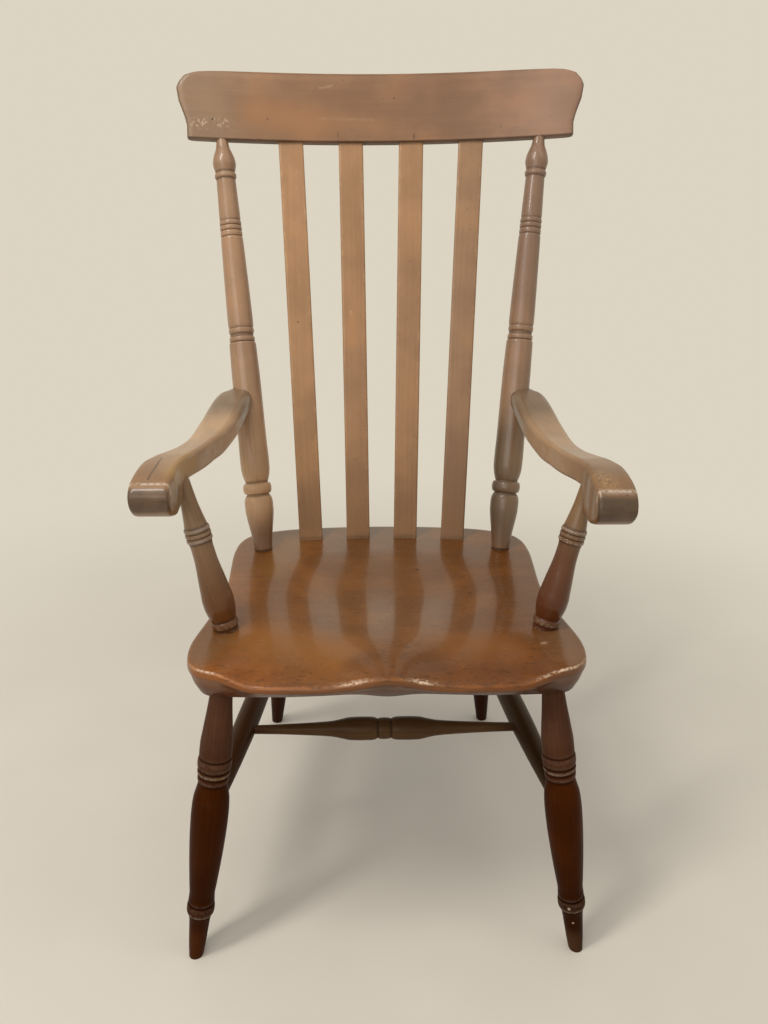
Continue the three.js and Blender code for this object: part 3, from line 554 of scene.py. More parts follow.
            ("X", 0.14, 0.2, (1.2, 1.15, 1.2), (0.62, 0.52, 0.4)),
        ],
    },
    "wedge": {
        "dark": (0.13, 0.07, 0.034), "mid": (0.21, 0.125, 0.066), "light": (0.3, 0.19, 0.105),
        "warm": (0.25, 0.14, 0.07), "worn": (0.33, 0.21, 0.12), "ring": 0.2, "fibre": 0.3,
        "streak": 0.4, "ringGap": 0.002, "heart": (0.02, 0.02), "pore": 0.3, "specular": 0.4,
        "roughness": 0.62,
    },
}


# A mark drawn on the wood: its colour covers what lies within its reach of the line from start
# to end, flattened by its shape. Its edge is ragged as far as it is speckled, and flecks leave
# only scattered spots of it.
def drawMark(sheet, place, colour, chip, fleck, mark):
    start, end, reach, strength, markColour = mark[:5]
    options = {"soft": 0.4, "speckled": 0, "shape": (1, 1, 1), "raggedness": 2.5}
    options.update(*mark[5:])
    away = sheet.vector("SUBTRACT", place, start)
    if end:
        run = vec(*end) - start
        length = float(np.linalg.norm(run))
        run = tuple(run / length)
        along = sheet.vector("DOT_PRODUCT", away, run, "Value").clamp(length)
        step = sheet.node("VectorMath", {"operation": "SCALE"}, {0: run, "Scale": along})
        away = sheet.vector("SUBTRACT", away, step)
    far = sheet.length(sheet.vector("MULTIPLY", away, options["shape"])) / reach
    far = far + (chip - 0.5) * (options["raggedness"] * options["speckled"])
    cover = (1 - far.between(options["soft"], 1.0)) * strength
    if "flecks" in options:
        cover = cover * fleck.between(*options["flecks"])
    return sheet.blend(cover, colour, markColour)


# Stained and varnished wood. grain holds each point's place in its own piece, z along the
# fibres. Growth rings are sines of the distance from a heart beside the piece, bent by noise.
# Grades turn the colour from one tint to another along an axis of the chair; many of them paint light
# and shade.
def woodMaterial(name, look):
    look = {**plainFinish, **look}
    material = bpy.data.materials.new(name)
    sheet = Sheet(material)
    grain = sheet.attribute("grain", "Vector")
    wear, grime = sheet.attribute("wear"), sheet.attribute("grime")
    place = sheet.place()
    axes = {axis: sheet.node("SeparateXYZ", {}, {0: place}, axis) for axis in "XYZ"}

    fibre = sheet.noise(grain, woodScale["fibre"], 2.0, 0.6)
    streak = sheet.noise(grain, woodScale["streak"], 2.0)
    figure = sheet.noise(grain, woodScale["figure"], 1.0)
    heart = sheet.vector("ADD", grain, (*look["heart"], 0))
    away = sheet.length(sheet.vector("MULTIPLY", heart, (1, 1, 0)))
    phase = away * (fullTurn / look["ringGap"])
    phase = phase + figure * showing["figureBend"] + streak * showing["streakBend"]
    ring = (phase.maths("SINE") * 0.5 + 0.5) ** showing["ringPower"] - showing["ringMean"]
    tone = ring * look["ring"] + (fibre - 0.5) * look["fibre"]
    tone = tone + (streak - 0.5) * look["streak"] * 2 + 0.5
    stops = [(0.2, look["dark"]), (0.5, look["mid"]), (0.8, look["light"])]
    colour = sheet.node("ValToRGB", {"stops": stops}, {"Fac": tone})
    pore = sheet.noise(grain, woodScale["pore"], 1.0).between(*showing["pore"])
    colour = sheet.blend(pore * look["pore"], colour, poreColour)

    cloud = sheet.noise(place, woodScale["cloud"], 3.0)
    smear = sheet.noise(place, woodScale["smear"], 3.0, 0.6)
    chip = sheet.noise(place, woodScale["chip"], 4.0, 0.65)
    warm = cloud.between(*showing["warmCloud"]) * showing["warm"]
    colour = sheet.blend(warm, colour, look["warm"])
    shade = sheet.blend(cloud.between(*showing["shadeCloud"]), *showing["shades"])
    colour = sheet.tint(colour, shade)

    worn = wear + (smear - 0.5) * showing["smearWear"] + (chip - 0.5) * showing["chipWear"]
    worn = worn.between(*showing["worn"])
    colour = sheet.blend(worn * look["wornDepth"], colour, look["worn"])
    # Darkening: dirt at joints, darker grooves, and painted shade on the seat's edge face, round its
    # sockets and on the front of the arms' noses
    dirtAndShade = (grime + (smear - 0.5) * showing["smearGrimeAndShade"]).between(*showing["dirtAndShade"])
    colour = sheet.blend(dirtAndShade * look["grimeAndShadeDepth"], colour, look["grime"])
    if "nicks" in look:
        nick = sheet.noise(grain, woodScale["nick"], 2.0, 0.6).between(*showing["nick"])
        nick = nick * wear.between(*showing["nickWear"]) * look["nicks"]
        colour = sheet.blend(nick, colour, poreColour)

    scale = 1 / woodScale["speckCell"]
    cells = sheet.node("TexVoronoi", {"feature": "F1"}, {"Vector": place, "Scale": scale})
    speck = cells.maths("LESS_THAN", showing["speckRadius"])
    speck = speck * chip.between(*showing["speckChip"])
    colour = sheet.blend(speck * showing["speck"], colour, grimeAndShadeColour)
    for axis, low, high, start, end in look["grades"]:
        colour = sheet.tint(colour, sheet.blend(axes[axis].between(low, high), start, end))
    fleck = sheet.noise(place, woodScale["fleck"], 3.0, 0.7)
    for mark in look["marks"]:
        colour = drawMark(sheet, place, colour, chip, fleck, mark)
    # Painted highlight: a pale colour broken into flecks on ring crowns, the seat's front arris and
    # the arms' noses
    if "glint" in look:
        glint = sheet.attribute("glint") * fleck.between(*look["glintFlecks"])
        colour = sheet.blend(glint, colour, look["glint"])
    coat = (1 - worn * showing["wornDulls"] - dirtAndShade * showing["grimeAndShadeDulls"]).clamp()
    coat = coat * look["coat"]
    for axis, low, high, start, end in look["coatGrades"]:
        coat = coat * (axes[axis].between(low, high) * (end - start) + start)

    rough = (smear - 0.5) * showing["smearRough"] + (fibre - 0.5) * showing["fibreRough"]
    rough = rough + look["roughness"] + worn * showing["wornRough"]
    rough = (rough + dirtAndShade * showing["grimeAndShadeRough"]).clamp()
    height = fibre * 0.25 - pore * 0.5 + smear * 0.9 - speck * 0.6 + streak * 0.4
    relief = {"Height": height, "Strength": 0.35, "Distance": woodScale["bumpHeight"]}
    inputs = {
        "Base Color": colour,
        "Roughness": rough,
        "Specular IOR Level": look["specular"],
        "Coat Weight": coat,
        "Coat Roughness": look["coatRoughness"],
        "Normal": sheet.node("Bump", {}, relief),
    }
    shader = sheet.node("BsdfPrincipled", {}, inputs)
    sheet.node("OutputMaterial", {}, {"Surface": shader})
    return material


looks = {name: woodMaterial(name + "Wood", look) for name, look in finishes.items()}
print("materials:", len(looks))

seat = {
    "width": 498, "depth": 454, "top": 438, "thickness": 42,
    # The edge draws in below, most at the front and less under the pommel
    "undercut": 11, "frontUndercut": 31, "pommelUndercut": 0.27,
    "undercutFade": (0.62, 0.95), "undercutDepth": 0.12,
    # The dish, the pommel between the thighs, and the roll down to the front edge
    "saddle": 18, "saddleSide": 0.82, "saddleBack": 0.4, "saddleFloor": 0.15,
    "saddleFront": 0.75, "saddleRise": 1.05, "saddleCurve": 2.5,
    "pommelWidth": 90, "pommelHeight": 0.9, "pommelLength": 0.31,
    "frontCut": 12.5, "frontCutFade": (0.78, 1.08), "rollLength": 0.24, "rollPower": 1.4,
    # The grid
    "hub": 0.45, "outlinePoints": 420, "topRings": 72, "edgeRows": 34, "underRings": 24,
    "firstRing": 0.012, "ringPower": 0.9, "lastRing": 0.985,
    # Where it is worn, dirty, in painted shade and in painted highlight, in shares of the edge's
    # height and of the depth
    "arris": (0.05, 0.06), "arrisWear": (0.45, 0.85), "frontFade": (0.1, 0.32), "topWear": 0.42,
    "faceFade": (0.1, 0.3), "facePaintedShade": 0.6, "rimGrimeAndShade": 0.6, "glintRow": (0.03, 0.03),
    # Painted highlights on the front edge: place, width, strength
    "glints": [(-222, 16, 0.65), (-42, 15, 0.75), (40, 13, 0.9), (212, 26, 0.9)],
}
seatOutlineShares = [
    [0, 1], [0.57, 0.978], [0.76, 0.95], [0.87, 0.915], [0.918, 0.866], [0.937, 0.78],
    [0.93, 0.68], [0.918, 0.58], [0.914, 0.5], [0.93, 0.41], [0.96, 0.317], [1, 0.191],
    [0.996, 0.126], [0.976, 0.09], [0.93, 0.062], [0.811, 0.038], [0.659, 0.013],
    [0.42, 0.006], [0.2, 0.008], [0, 0.013],
]
seatEdgeShares = [
    [0.3, 0], [0.1, 0.03], [0.02, 0.12], [0, 0.24], [0.25, 0.45], [0.48, 0.68], [0.78, 0.87],
    [1, 1],
]
underside = seat["top"] - seat["thickness"]
seatHalf = seat["width"] / 2


# The pommel's share at each place across the seat
def ridgeAt(x):
    return np.exp(-((2 * x / seat["pommelWidth"]) ** 2))


# Height of the seat's top: a dish, which rolls down over the last stretch before the front
# edge to a line that is cut low on both sides of the pommel
def seatTopAt(x, y):
    across = np.abs(x) / (seat["saddleSide"] * seatHalf)
    back = np.maximum(0, y / seat["depth"] / seat["saddleBack"] - 1)
    front = seat["saddleRise"] * np.maximum(0, 1 - y / seat["depth"] / seat["saddleFront"])
    power = seat["saddleCurve"]
    reach = (across**power + back**power + front**power) ** (1 / power)
    ridge = ridgeAt(x)
    fade = 1 - ease(y, 0, seat["pommelLength"] * seat["depth"])
    dish = seat["saddle"] * (1 - ease(reach, seat["saddleFloor"], 1)) * (1 - ridge * fade / 2)
    cutDown = seat["frontCut"] * (1 - ease(across, *seat["frontCutFade"]))
    cutDown = cutDown * (1 - seat["pommelHeight"] * ridge)
    roll = np.clip(1 - y / (seat["rollLength"] * seat["depth"]), 0, 1) ** seat["rollPower"]
    return seat["top"] - lerp(dish, cutDown, roll)


# Closed centripetal curve through the control points, at even distances along it
def closedCurve(control, count, steps=60):
    p0, p1, p2, p3 = (np.roll(control, shift, 0)[:, None] for shift in (1, 0, -1, -2))
    d1, d2, d3 = (
        np.sqrt(np.linalg.norm(b - a, axis=-1, keepdims=True))
        for a, b in ((p0, p1), (p1, p2), (p2, p3))
    )
    t = np.linspace(0, 1, steps, endpoint=False)[None, :, None]
    m1 = (p2 - p1) + d2 * ((p1 - p0) / d1 - (p2 - p0) / (d1 + d2))
    m2 = (p2 - p1) + d2 * ((p3 - p2) / d3 - (p3 - p1) / (d2 + d3))
    curve = (2 * t**3 - 3 * t**2 + 1) * p1 + (t**3 - 2 * t**2 + t) * m1
    curve = (curve + (3 * t**2 - 2 * t**3) * p2 + (t**3 - t**2) * m2).reshape(-1, 2)
    return evenly(curve, count)


outlineHalf = np.array(seatOutlineShares) * (seatHalf, seat["depth"])
outlineLeft = outlineHalf[1:-1][::-1] * (-1, 1)
seatOutline = closedCurve(np.concatenate([outlineHalf, outlineLeft]), seat["outlinePoints"])
rearRows = [[x * seatHalf, y * seat["depth"]] for x, y in seatOutlineShares[:6]]
sideRows = [[y * seat["depth"], x * seatHalf] for x, y in seatOutlineShares[3:12]][::-1]


def seatBackAt(x):
    return linesThrough(rearRows, abs(x))


def seatSideAt(y):
    return linesThrough(sideRows, y)


legs = {
    "frontDiameter": 48, "frontSideInset": 43.5, "frontInset": 40, "frontSplay": 56,
    "frontRake": 44, "rearDiameter": 37, "rearSideInset": 91, "rearInset": 70, "rearSplay": 43,
    "rearRake": 124, "tenon": 26, "tenonDiameter": 27, "tenonGap": 0.1,
}
back = {
    "stileDiameter": 45, "sideInset": 43.5, "backInset": 89, "splay": 52, "lean": 184,
    "height": 599, "tenonDiameter": 26, "tenonGap": 0.3, "topTenon": 34, "crestHeight": 101,
    "crestThickness": 18, "overhang": 63.5, "bowRadius": 1600, "rise": 9,
}
arms = {
    "tailHeight": 245, "thickness": 32, "reach": 379, "width": 48, "postDiameter": 40.5,
    "postSideInset": 33.5, "postFrontInset": 123, "postTenonDiameter": 24, "postHeadSpread": 43,
    "postAlong": 0.783, "collarSink": 5, "collarGap": 0.1, "topTenon": 9, "topTenonShare": 0.8,
}
hands = {  # height above the seat, spread, scroll drop
    "left": {"side": -1, "height": 229, "spread": 65, "drop": 24},
    "right": {"side": 1, "height": 222, "spread": 58, "drop": 29},
}
crestLean = math.atan2(back["lean"], back["height"])
crestUp = vec(0, math.sin(crestLean), math.cos(crestLean))
crestBack = vec(0, math.cos(crestLean), -math.sin(crestLean))
stileFootY = seat["depth"] - back["backInset"]
stileFootX = float(seatSideAt(stileFootY)) - back["sideInset"]
stileHeadX = stileFootX + back["splay"]
crestHalf = stileHeadX + back["overhang"]


# A place on the crest rail: x along it, a height up its leaning face and a depth through it,
# bowed backward in the middle on a large circle and a little out of level
def onCrest(x, height, through):
    x, height, through = np.broadcast_arrays(
        *(np.asarray(v, float) for v in (x, height, through))
    )
    base = vec(0, stileFootY + back["lean"], seat["top"] + back["height"])
    up = height + back["rise"] * x / (2 * crestHalf)
    bow = (stileHeadX**2 - x**2) / (2 * back["bowRadius"])
    out = base + up[..., None] * crestUp + (through + bow)[..., None] * crestBack
    out[..., 0] = x
    return out


# Where the members of one side start and end
def memberLines(hand):
    side = hand["side"]
    frontHead = vec(side * (seatHalf - legs["frontSideInset"]), legs["frontInset"], underside)
    rearHeadX, rearHeadY = seatHalf - legs["rearSideInset"], seat["depth"] - legs["rearInset"]
    rearHead = vec(side * rearHeadX, rearHeadY, underside)
    frontRun = vec(side * legs["frontSplay"], -legs["frontRake"], -underside)
    rearRun = vec(side * legs["rearSplay"], legs["rearRake"], -underside)
    stileFoot = vec(side * stileFootX, stileFootY, seat["top"])
    stileHead = onCrest(side * stileHeadX, 0, 0)
    postX = float(seatSideAt(arms["postFrontInset"])) - arms["postSideInset"]
    armRoot = atHeight(stileFoot, stileHead, seat["top"] + arms["tailHeight"])
    postHead = vec(
        armRoot[0] + side * arms["postHeadSpread"],
        armRoot[1] - arms["postAlong"] * arms["reach"],
        seat["top"] + hand["height"] - arms["thickness"],
    )
    return {
        "frontLeg": (frontHead, frontHead + frontRun),
        "rearLeg": (rearHead, rearHead + rearRun),
        "stile": (stileFoot, stileHead),
        "post": (vec(side * postX, arms["postFrontInset"], seat["top"]), postHead),
        "armRoot": armRoot,
    }


lines = {name: memberLines(hand) for name, hand in hands.items()}
print("lines worked out: stile foot", round(stileFootX, 1), "head", round(stileHeadX, 1))

laths = {
    "width": 37.5, "thickness": 8.5, "round": 2.0, "bow": 9, "backInset": 44, "seatTenon": 14,
    "crestTenon": 12, "steps": 120, "sectionPoints": 56,
    "cornerFade": (1.5, 1.95), "cornerWear": 0.75, "endGrime": 3,
}
lathShares = [[-0.611, -0.5735], [-0.204, -0.193], [0.204, 0.193], [0.611, 0.5735]]
rims = {"stile": 13.6, "post": 15, "fade": 4.5, "lathFade": 3.5}  # of the seat's sockets


def lathFoot(share):
    x = share * stileFootX
    return vec(x, float(seatBackAt(x)) - laths["backInset"], seat["top"])


# How near each point of the seat's top is to a socket: 1 at its rim, 0 a few millimetres out. It masks
# dirt and painted shade round the sockets.
def rimGrimeAndShade(x, y):
    near = np.zeros_like(x)
    for line in lines.values():
        for key in ("stile", "post"):
            foot = line[key][0]
            away = np.hypot(x - foot[0], y - foot[1]) - rims[key]
            near = np.maximum(near, 1 - ease(away, 0, rims["fade"]))
    for foot, _ in lathShares:
        away = np.hypot(
            np.maximum(0, np.abs(x - foot * stileFootX) - laths["width"] / 2),
            np.maximum(0, np.abs(y - lathFoot(foot)[1]) - laths["thickness"] / 2),
        )
        near = np.maximum(near, 1 - ease(away, 0, rims["lathFade"]))
    return near


# A closed loop round a rectangle with rounded corners, at even distances: u across, v up
def roundedLoop(halfWidth, halfHeight, radius, count):
    corners = []
    for su, sv, start in ((1, 1, 0), (-1, 1, 1), (-1, -1, 2), (1, -1, 3)):
        turn = (start + np.linspace(0, 1, 12)) * math.pi / 2
        u = su * (halfWidth - radius) + radius * np.cos(turn)
        v = sv * (halfHeight - radius) + radius * np.sin(turn)
        corners.append(np.stack([u, v], -1))
    return evenly(np.concatenate(corners), count)


# A lath carries its rounded section along a parabola: centre = foot + along * run
# + 4 along (1 - along) bow, forward
def lathSkin(share, grainStart):
    foot, head = lathFoot(share[0]), onCrest(share[1] * stileHeadX, 0, 0)
    turn = math.atan2((foot[0] + head[0]) / 2, back["bowRadius"])
    across = vec(math.cos(turn), -math.sin(turn), 0)
    run = head - foot
    forward = -unit(np.cross(run, across))
    length = np.linalg.norm(run)
    ends = (-laths["seatTenon"] / length, 1 + laths["crestTenon"] / length)
    along = np.linspace(*ends, laths["steps"])
    centre = foot + along[:, None] * run
    centre += (4 * along * (1 - along) * laths["bow"])[:, None] * forward
    half, thin = laths["width"] / 2, laths["thickness"] / 2
    loop = roundedLoop(half, thin, laths["round"], laths["sectionPoints"])
    u, v = loop[None, :, 0], loop[None, :, 1]
    grid = centre[:, None] + u[..., None] * across + v[..., None] * forward
    far = along[:, None] * length
    grain = np.stack(np.broadcast_arrays(u, v, far), -1) * mm + grainStart
    wear = ease(np.abs(u) / half + np.abs(v) / thin, *laths["cornerFade"]) * laths["cornerWear"]
    spread = laths["endGrime"]
    grime = np.exp(-np.abs(far) / spread) + np.exp(-np.abs(far - length) / spread)
    return closedGrid(grid, grain=grain, wear=wear, grime=grime)


# Seat skin: rings shrink from the outline towards a hub, over the top, round the edge and
# under it; height = lerp(top, underside, down)
def seatSkin():
    hub = vec(0, seat["hub"] * seat["depth"], 0)[:2]
    toHub = hub - seatOutline
    far = np.linalg.norm(toHub, axis=1, keepdims=True)
    sides = ease(np.abs(seatOutline[:, 0]) / seatHalf, *seat["undercutFade"])
    depths = ease(seatOutline[:, 1] / seat["depth"], 0, seat["undercutDepth"])
    front = 1 - seat["pommelUndercut"] * ridgeAt(seatOutline[:, 0]) ** 2
    front = seat["frontUndercut"] * front
    undercut = lerp(front, seat["undercut"], np.maximum(sides, depths))
    rows = np.linspace(0, 1, seat["edgeRows"])
    knots = np.linspace(0, 1, len(seatEdgeShares))[:, None]
    edge = curveThrough(np.hstack([knots, seatEdgeShares]), rows)
    edgeIn = edge[:, :1] * undercut
    shrink = np.linspace(seat["firstRing"], 1, seat["topRings"], endpoint=False)[:, None]
    topIn = lerp(far[:, 0], edgeIn[0], shrink ** seat["ringPower"])
    under = np.linspace(0, seat["lastRing"], seat["underRings"])[1:, None]
    underIn = lerp(edgeIn[-1], far[:, 0], under)
    inward = np.concatenate([topIn, edgeIn, underIn])
    down = np.concatenate([np.zeros(len(topIn)), edge[:, 1], np.ones(len(underIn))])[:, None]
    xy = seatOutline + inward[..., None] * (toHub / far)
    x, y = xy[..., 0], xy[..., 1]
    grid = np.concatenate([xy, lerp(seatTopAt(x, y), underside, down)[..., None]], -1)
    grain = grid[..., [1, 2, 0]] * mm
    front = 1 - ease(y / seat["depth"], *seat["frontFade"])
    arris = hump(down, *seat["arris"]) * (down > 0)
    wear = np.maximum(arris * lerp(*seat["arrisWear"], front), seat["topWear"] * front * (down == 0))
    # Painted shade on the edge face below the arris
    face = ease(down, *seat["faceFade"]) * seat["facePaintedShade"]
    grime = seat["rimGrimeAndShade"] * rimGrimeAndShade(x, y) * (down == 0) + face
    # Painted highlights at spots along the front arris
    spots = sum(strength * hump(x, place, width) for place, width, strength in seat["glints"])
    glint = hump(down, *seat["glintRow"]) * (down > 0) * front * np.clip(spots, 0, 1)
    return closedGrid(grid, grain=grain, wear=wear, grime=grime, glint=glint)


# Crest rail tables: height, half-width of the ends; height, half thickness; and the taper
crestEndShares = [
    [0, 0.9535], [0.178, 0.9535], [0.297, 0.9635], [0.515, 0.99], [0.703, 1], [0.792, 0.987],
    [0.891, 0.96], [0.94, 0.914], [0.96, 0.86], [0.975, 0.76], [0.99, 0.5], [1, 0.25],
]
crestSectionShares = [
    [0, 0.47], [0.01, 0.5], [0.04, 0.5], [0.4, 0.5], [0.703, 0.5], [0.86, 0.48], [0.94, 0.4],
    [0.98, 0.28], [1, 0.12],
]
crestTaperShares = [[0, 1], [0.92, 1], [0.965, 0.98], [0.99, 0.82], [1, 0.5]]
crest = {
    "stations": 260, "sectionRows": 46, "evenness": 0.6,
    "endFade": (0.975, 1), "footFade": 0.028, "headRow": (0.965, 0.02),
    "endGrime": 0.6, "footGrime": 0.7, "headGrime": 0.45,
}


# Crest skin: x = along * half width at that height, through = half thickness at that height,
# thinned towards the rounded ends
def crestSkin(grainStart):
    even = np.linspace(-1, 1, crest["stations"])
    along = lerp(np.sin(even * math.pi / 2), even, crest["evenness"])
    along[[0, -1]] = -1, 1
    up = (1 - np.cos(np.linspace(0, 1, crest["sectionRows"]) * math.pi)) / 2
    thick = curveThrough(crestSectionShares, up)
    loopUp = np.concatenate([up, up[::-1]])
    loopThrough = np.concatenate([thick, -thick[::-1]])
    taper = curveThrough(crestTaperShares, np.abs(along))[:, None]
    x = along[:, None] * linesThrough(crestEndShares, loopUp) * crestHalf
    height = loopUp * back["crestHeight"] + 0 * x
    through = loopThrough * taper * back["crestThickness"]
    grain = np.stack([through, height, x], -1) * mm + grainStart
    ends = ease(np.abs(along[:, None]), *crest["endFade"]) * crest["endGrime"]
    foot = (1 - ease(loopUp, 0.0, crest["footFade"])) * crest["footGrime"]
    head = hump(loopUp, *crest["headRow"]) * crest["headGrime"]
    grime = np.clip(foot + head + ends, 0, 1)
    return closedGrid(onCrest(x, height, through), grain=grain, wear=0 * x, grime=grime + 0 * x)


armShares = [  # along, across, width, rise, thickness, drop, corner
    [0.03, 0.11, 0.9, 1, 0.97, 0, 0.45],
    [0.0623, 0.19, 0.92, 0.97, 0.97, 0, 0.45],
    [0.0861, 0.24, 1.06, 0.93, 1, 0, 0.44],
    [0.1548, 0.294, 1.12, 0.7, 1.05, 0, 0.42],
    [0.234, 0.341, 1.1, 0.35, 1.05, 0, 0.36],
    [0.3133, 0.39, 1.03, 0.05, 1.06, 0, 0.3],
    [0.3925, 0.446, 0.94, -0.17, 1.06, 0, 0.25],
    [0.4717, 0.493, 0.85, -0.3, 1.04, 0, 0.22],
    [0.551, 0.563, 0.735, -0.32, 1.01, 0, 0.2],
    [0.63, 0.649, 0.73, -0.25, 1.01, 0, 0.2],
    [0.7095, 0.774, 0.8, -0.1, 1, 0, 0.2],
    [0.7676, 0.88, 0.89, 0, 1, 0, 0.2],
    [0.8046, 0.945, 0.94, 0, 1, 0, 0.2],
    [0.8257, 0.97, 0.96, -0.01, 1, 0.6, 0.2],
    [0.86, 0.985, 0.975, -0.06, 1, 0.97, 0.2],
    [0.8944, 0.99, 0.985, -0.15, 1, 1, 0.2],
    [0.9314, 1, 0.99, -0.32, 0.96, 0.8, 0.2],
    [0.9604, 1, 0.99, -0.52, 0.9, 0.545, 0.18],
    [0.9815, 1, 0.97, -0.78, 0.7, 0.33, 0.16],
    [0.9947, 1, 0.95, -1.1, 0.45, 0.12, 0.12],
    [1, 1, 0.93, -1.35, 0.25, 0, 0.1],
]
armSkins = {
    "rings": 190, "sectionPoints": 104,
    # Shares along the arm and up its section between which it wears, is dirty at the root, takes
    # painted shade on the nose's front and a painted highlight on the nose's arris
    "noseFade": (0.72, 0.9), "upperFade": (0.2, 0.9), "cornerFade": (1.35, 1.9),
    "cornerWear": 0.2, "noseWear": 0.55, "frontFade": (0.968, 0.99), "frontPaintedShade": 0.72,
    "rootFade": (0.03, 0.055), "rootGrime": 0.8,
    "glintRow": (0.966, 0.004), "glintAbove": 0.3, "glintShare": 0.6,
}


# Arm skin: rounded sections square to y, whose centre, width, top and thickness follow curves
# of the distance along the arm's back line
def armSkin(hand, line, grainStart):
    rows = np.array(armShares)
    tail = arms["tailHeight"] - hand["height"]
    top = seat["top"] + hand["height"] + rows[:, 3] * tail
    travel = np.hypot(np.diff(rows[:, 0]) * arms["reach"], np.diff(top))
    far = np.concatenate([[0], np.cumsum(travel)])
    rings = np.linspace(0, far[-1], armSkins["rings"])
    table = curveThrough(np.column_stack([far, rows]), rings)
    along, across, width, rise, thickness, drop, corner = table.T
    height = seat["top"] + hand["height"] + rise * tail
    bottom = height - thickness * arms["thickness"] - drop * hand["drop"]
    halfWidth, halfHeight = width * arms["width"] / 2, (height - bottom) / 2
    radius = np.minimum(np.minimum(corner * arms["thickness"], halfWidth), halfHeight)
    count = armSkins["sectionPoints"]
    loops = np.stack([roundedLoop(*sizes, count) for sizes in zip(halfWidth, halfHeight, radius)])
    centre = line["armRoot"][0] + hand["side"] * across * hand["spread"]
    y = line["armRoot"][1] - along * arms["reach"]
    middle = ((height + bottom) / 2)[:, None]
    y = np.broadcast_to(y[:, None], loops.shape[:2])
    grid = np.stack([centre[:, None] + loops[..., 0], y, middle + loops[..., 1]], -1)
    grain = grid[..., [0, 2, 1]] * mm + grainStart
    u = np.abs(loops[..., 0]) / halfWidth[:, None]
    v = loops[..., 1] / halfHeight[:, None]
    nose = ease(along, *armSkins["noseFade"])[:, None] * armSkins["noseWear"]
    upper = ease(v, *armSkins["upperFade"])
    wear = upper * ease(u + v, *armSkins["cornerFade"]) * armSkins["cornerWear"] + nose * upper
    # Painted shade on the nose's front face, added to dirt at the tail's root
    front = ease(along, *armSkins["frontFade"])[:, None]
    root = (1 - ease(along, *armSkins["rootFade"]))[:, None]
    grime = root * armSkins["rootGrime"] + front * armSkins["frontPaintedShade"]
    # Painted highlight along the nose's top arris
    glint = hump(along, *armSkins["glintRow"])[:, None] * (v > armSkins["glintAbove"])
    glint = glint * armSkins["glintShare"]
    wear = np.clip(wear, 0, 1) * (1 - front)
    return closedGrid(grid, grain=grain, wear=wear, grime=grime, glint=glint)


# Turned profiles: rows of two are a share of the length and of the diameter, rows of four are
# a bead
stileShares = [
    [0, 0.604], [0.027, 0.69], [0.053, 0.8], [0.078, 0.915], [0.1, 0.98], [0.118, 0.985],
    [0.131, 0.925], [0.138, 0.8], [0.141, 0.169, 0.987, 0.75], [0.179, 0.855], [0.192, 0.945],
    [0.206, 0.99], [0.23, 1], [0.279, 0.973], [0.428, 0.962], [0.476, 0.933], [0.514, 0.9],
    [0.517, 0.87], [0.5185, 0.531, 0.865, 0.785], [0.539, 0.552, 0.855, 0.785], [0.5545, 0.83],
    [0.562, 0.857], [0.634, 0.829], [0.7135, 0.778], [0.768, 0.733],
    [0.772, 0.785, 0.735, 0.667], [0.7865, 0.797, 0.735, 0.667], [0.7985, 0.809, 0.73, 0.667],
    [0.816, 0.702], [0.864, 0.667], [0.9045, 0.636], [0.909, 0.922, 0.722, 0.622],
    [0.9315, 0.7], [0.943, 0.764], [0.955, 0.722], [0.9695, 0.589], [0.983, 0.444], [1, 0.378],
]
frontLegShares = [
    [0, 0.573], [0.062, 0.66], [0.124, 0.767], [0.182, 0.85], [0.214, 0.854],
    [0.2245, 0.2625, 0.9, 0.8], [0.2655, 0.284, 0.868, 0.795], [0.287, 0.309, 0.83, 0.78],
    [0.313, 0.771], [0.345, 0.86], [0.372, 0.95], [0.4, 0.986], [0.435, 1], [0.498, 0.979],
    [0.572, 0.917], [0.64, 0.84], [0.706, 0.75], [0.746, 0.698], [0.774, 0.719],
    [0.781, 0.822, 0.77, 0.65], [0.851, 0.579], [0.9, 0.525], [0.953, 0.469], [1, 0.396],
]
rearLegShares = [
    [0, 0.73], [0.12, 0.8], [0.25, 0.892], [0.4, 0.965], [0.5, 1], [0.62, 0.973],
    [0.74, 0.87], [0.85, 0.743], [1, 0.541],
]
postShares = [
    [0, 0.741], [0.016, 0.064, 0.863, 0.765], [0.08, 0.83], [0.117, 0.915], [0.165, 0.99],
    [0.21, 1], [0.268, 0.944], [0.33, 0.881], [0.384, 0.821], [0.427, 0.771], [0.499, 0.715],
    [0.57, 0.703], [0.61, 0.64, 0.82, 0.735], [0.642, 0.672, 0.82, 0.735],
    [0.675, 0.705, 0.815, 0.73], [0.716, 0.715], [0.763, 0.642], [0.865, 0.519], [1, 0.445],
]
sideStretcherShares = [
    [0.02, 0.58], [0.1, 0.667], [0.18, 0.77], [0.25, 0.855], [0.33, 0.93], [0.4, 0.986],
    [0.5, 1], [0.6, 0.986], [0.67, 0.93], [0.75, 0.855], [0.82, 0.77], [0.9, 0.667],
    [0.98, 0.58],
]
crossStretcherShares = [
    [0.046, 0.783], [0.058, 0.899], [0.097, 0.986], [0.169, 1], [0.242, 0.971], [0.309, 0.812],
    [0.374, 0.667], [0.478, 0.571], [0.638, 0.475], [0.797, 0.406], [0.913, 0.377],
    [0.99, 0.362],
]
stretchers = {
    "sideDiameter": 34.5, "sideFrontHeight": 221, "sideRearHeight": 232, "crossDiameter": 34.5,
    "crossPlace": 0.402, "crossBead": [-0.046, 0.046, 0.913, 0.783],
}


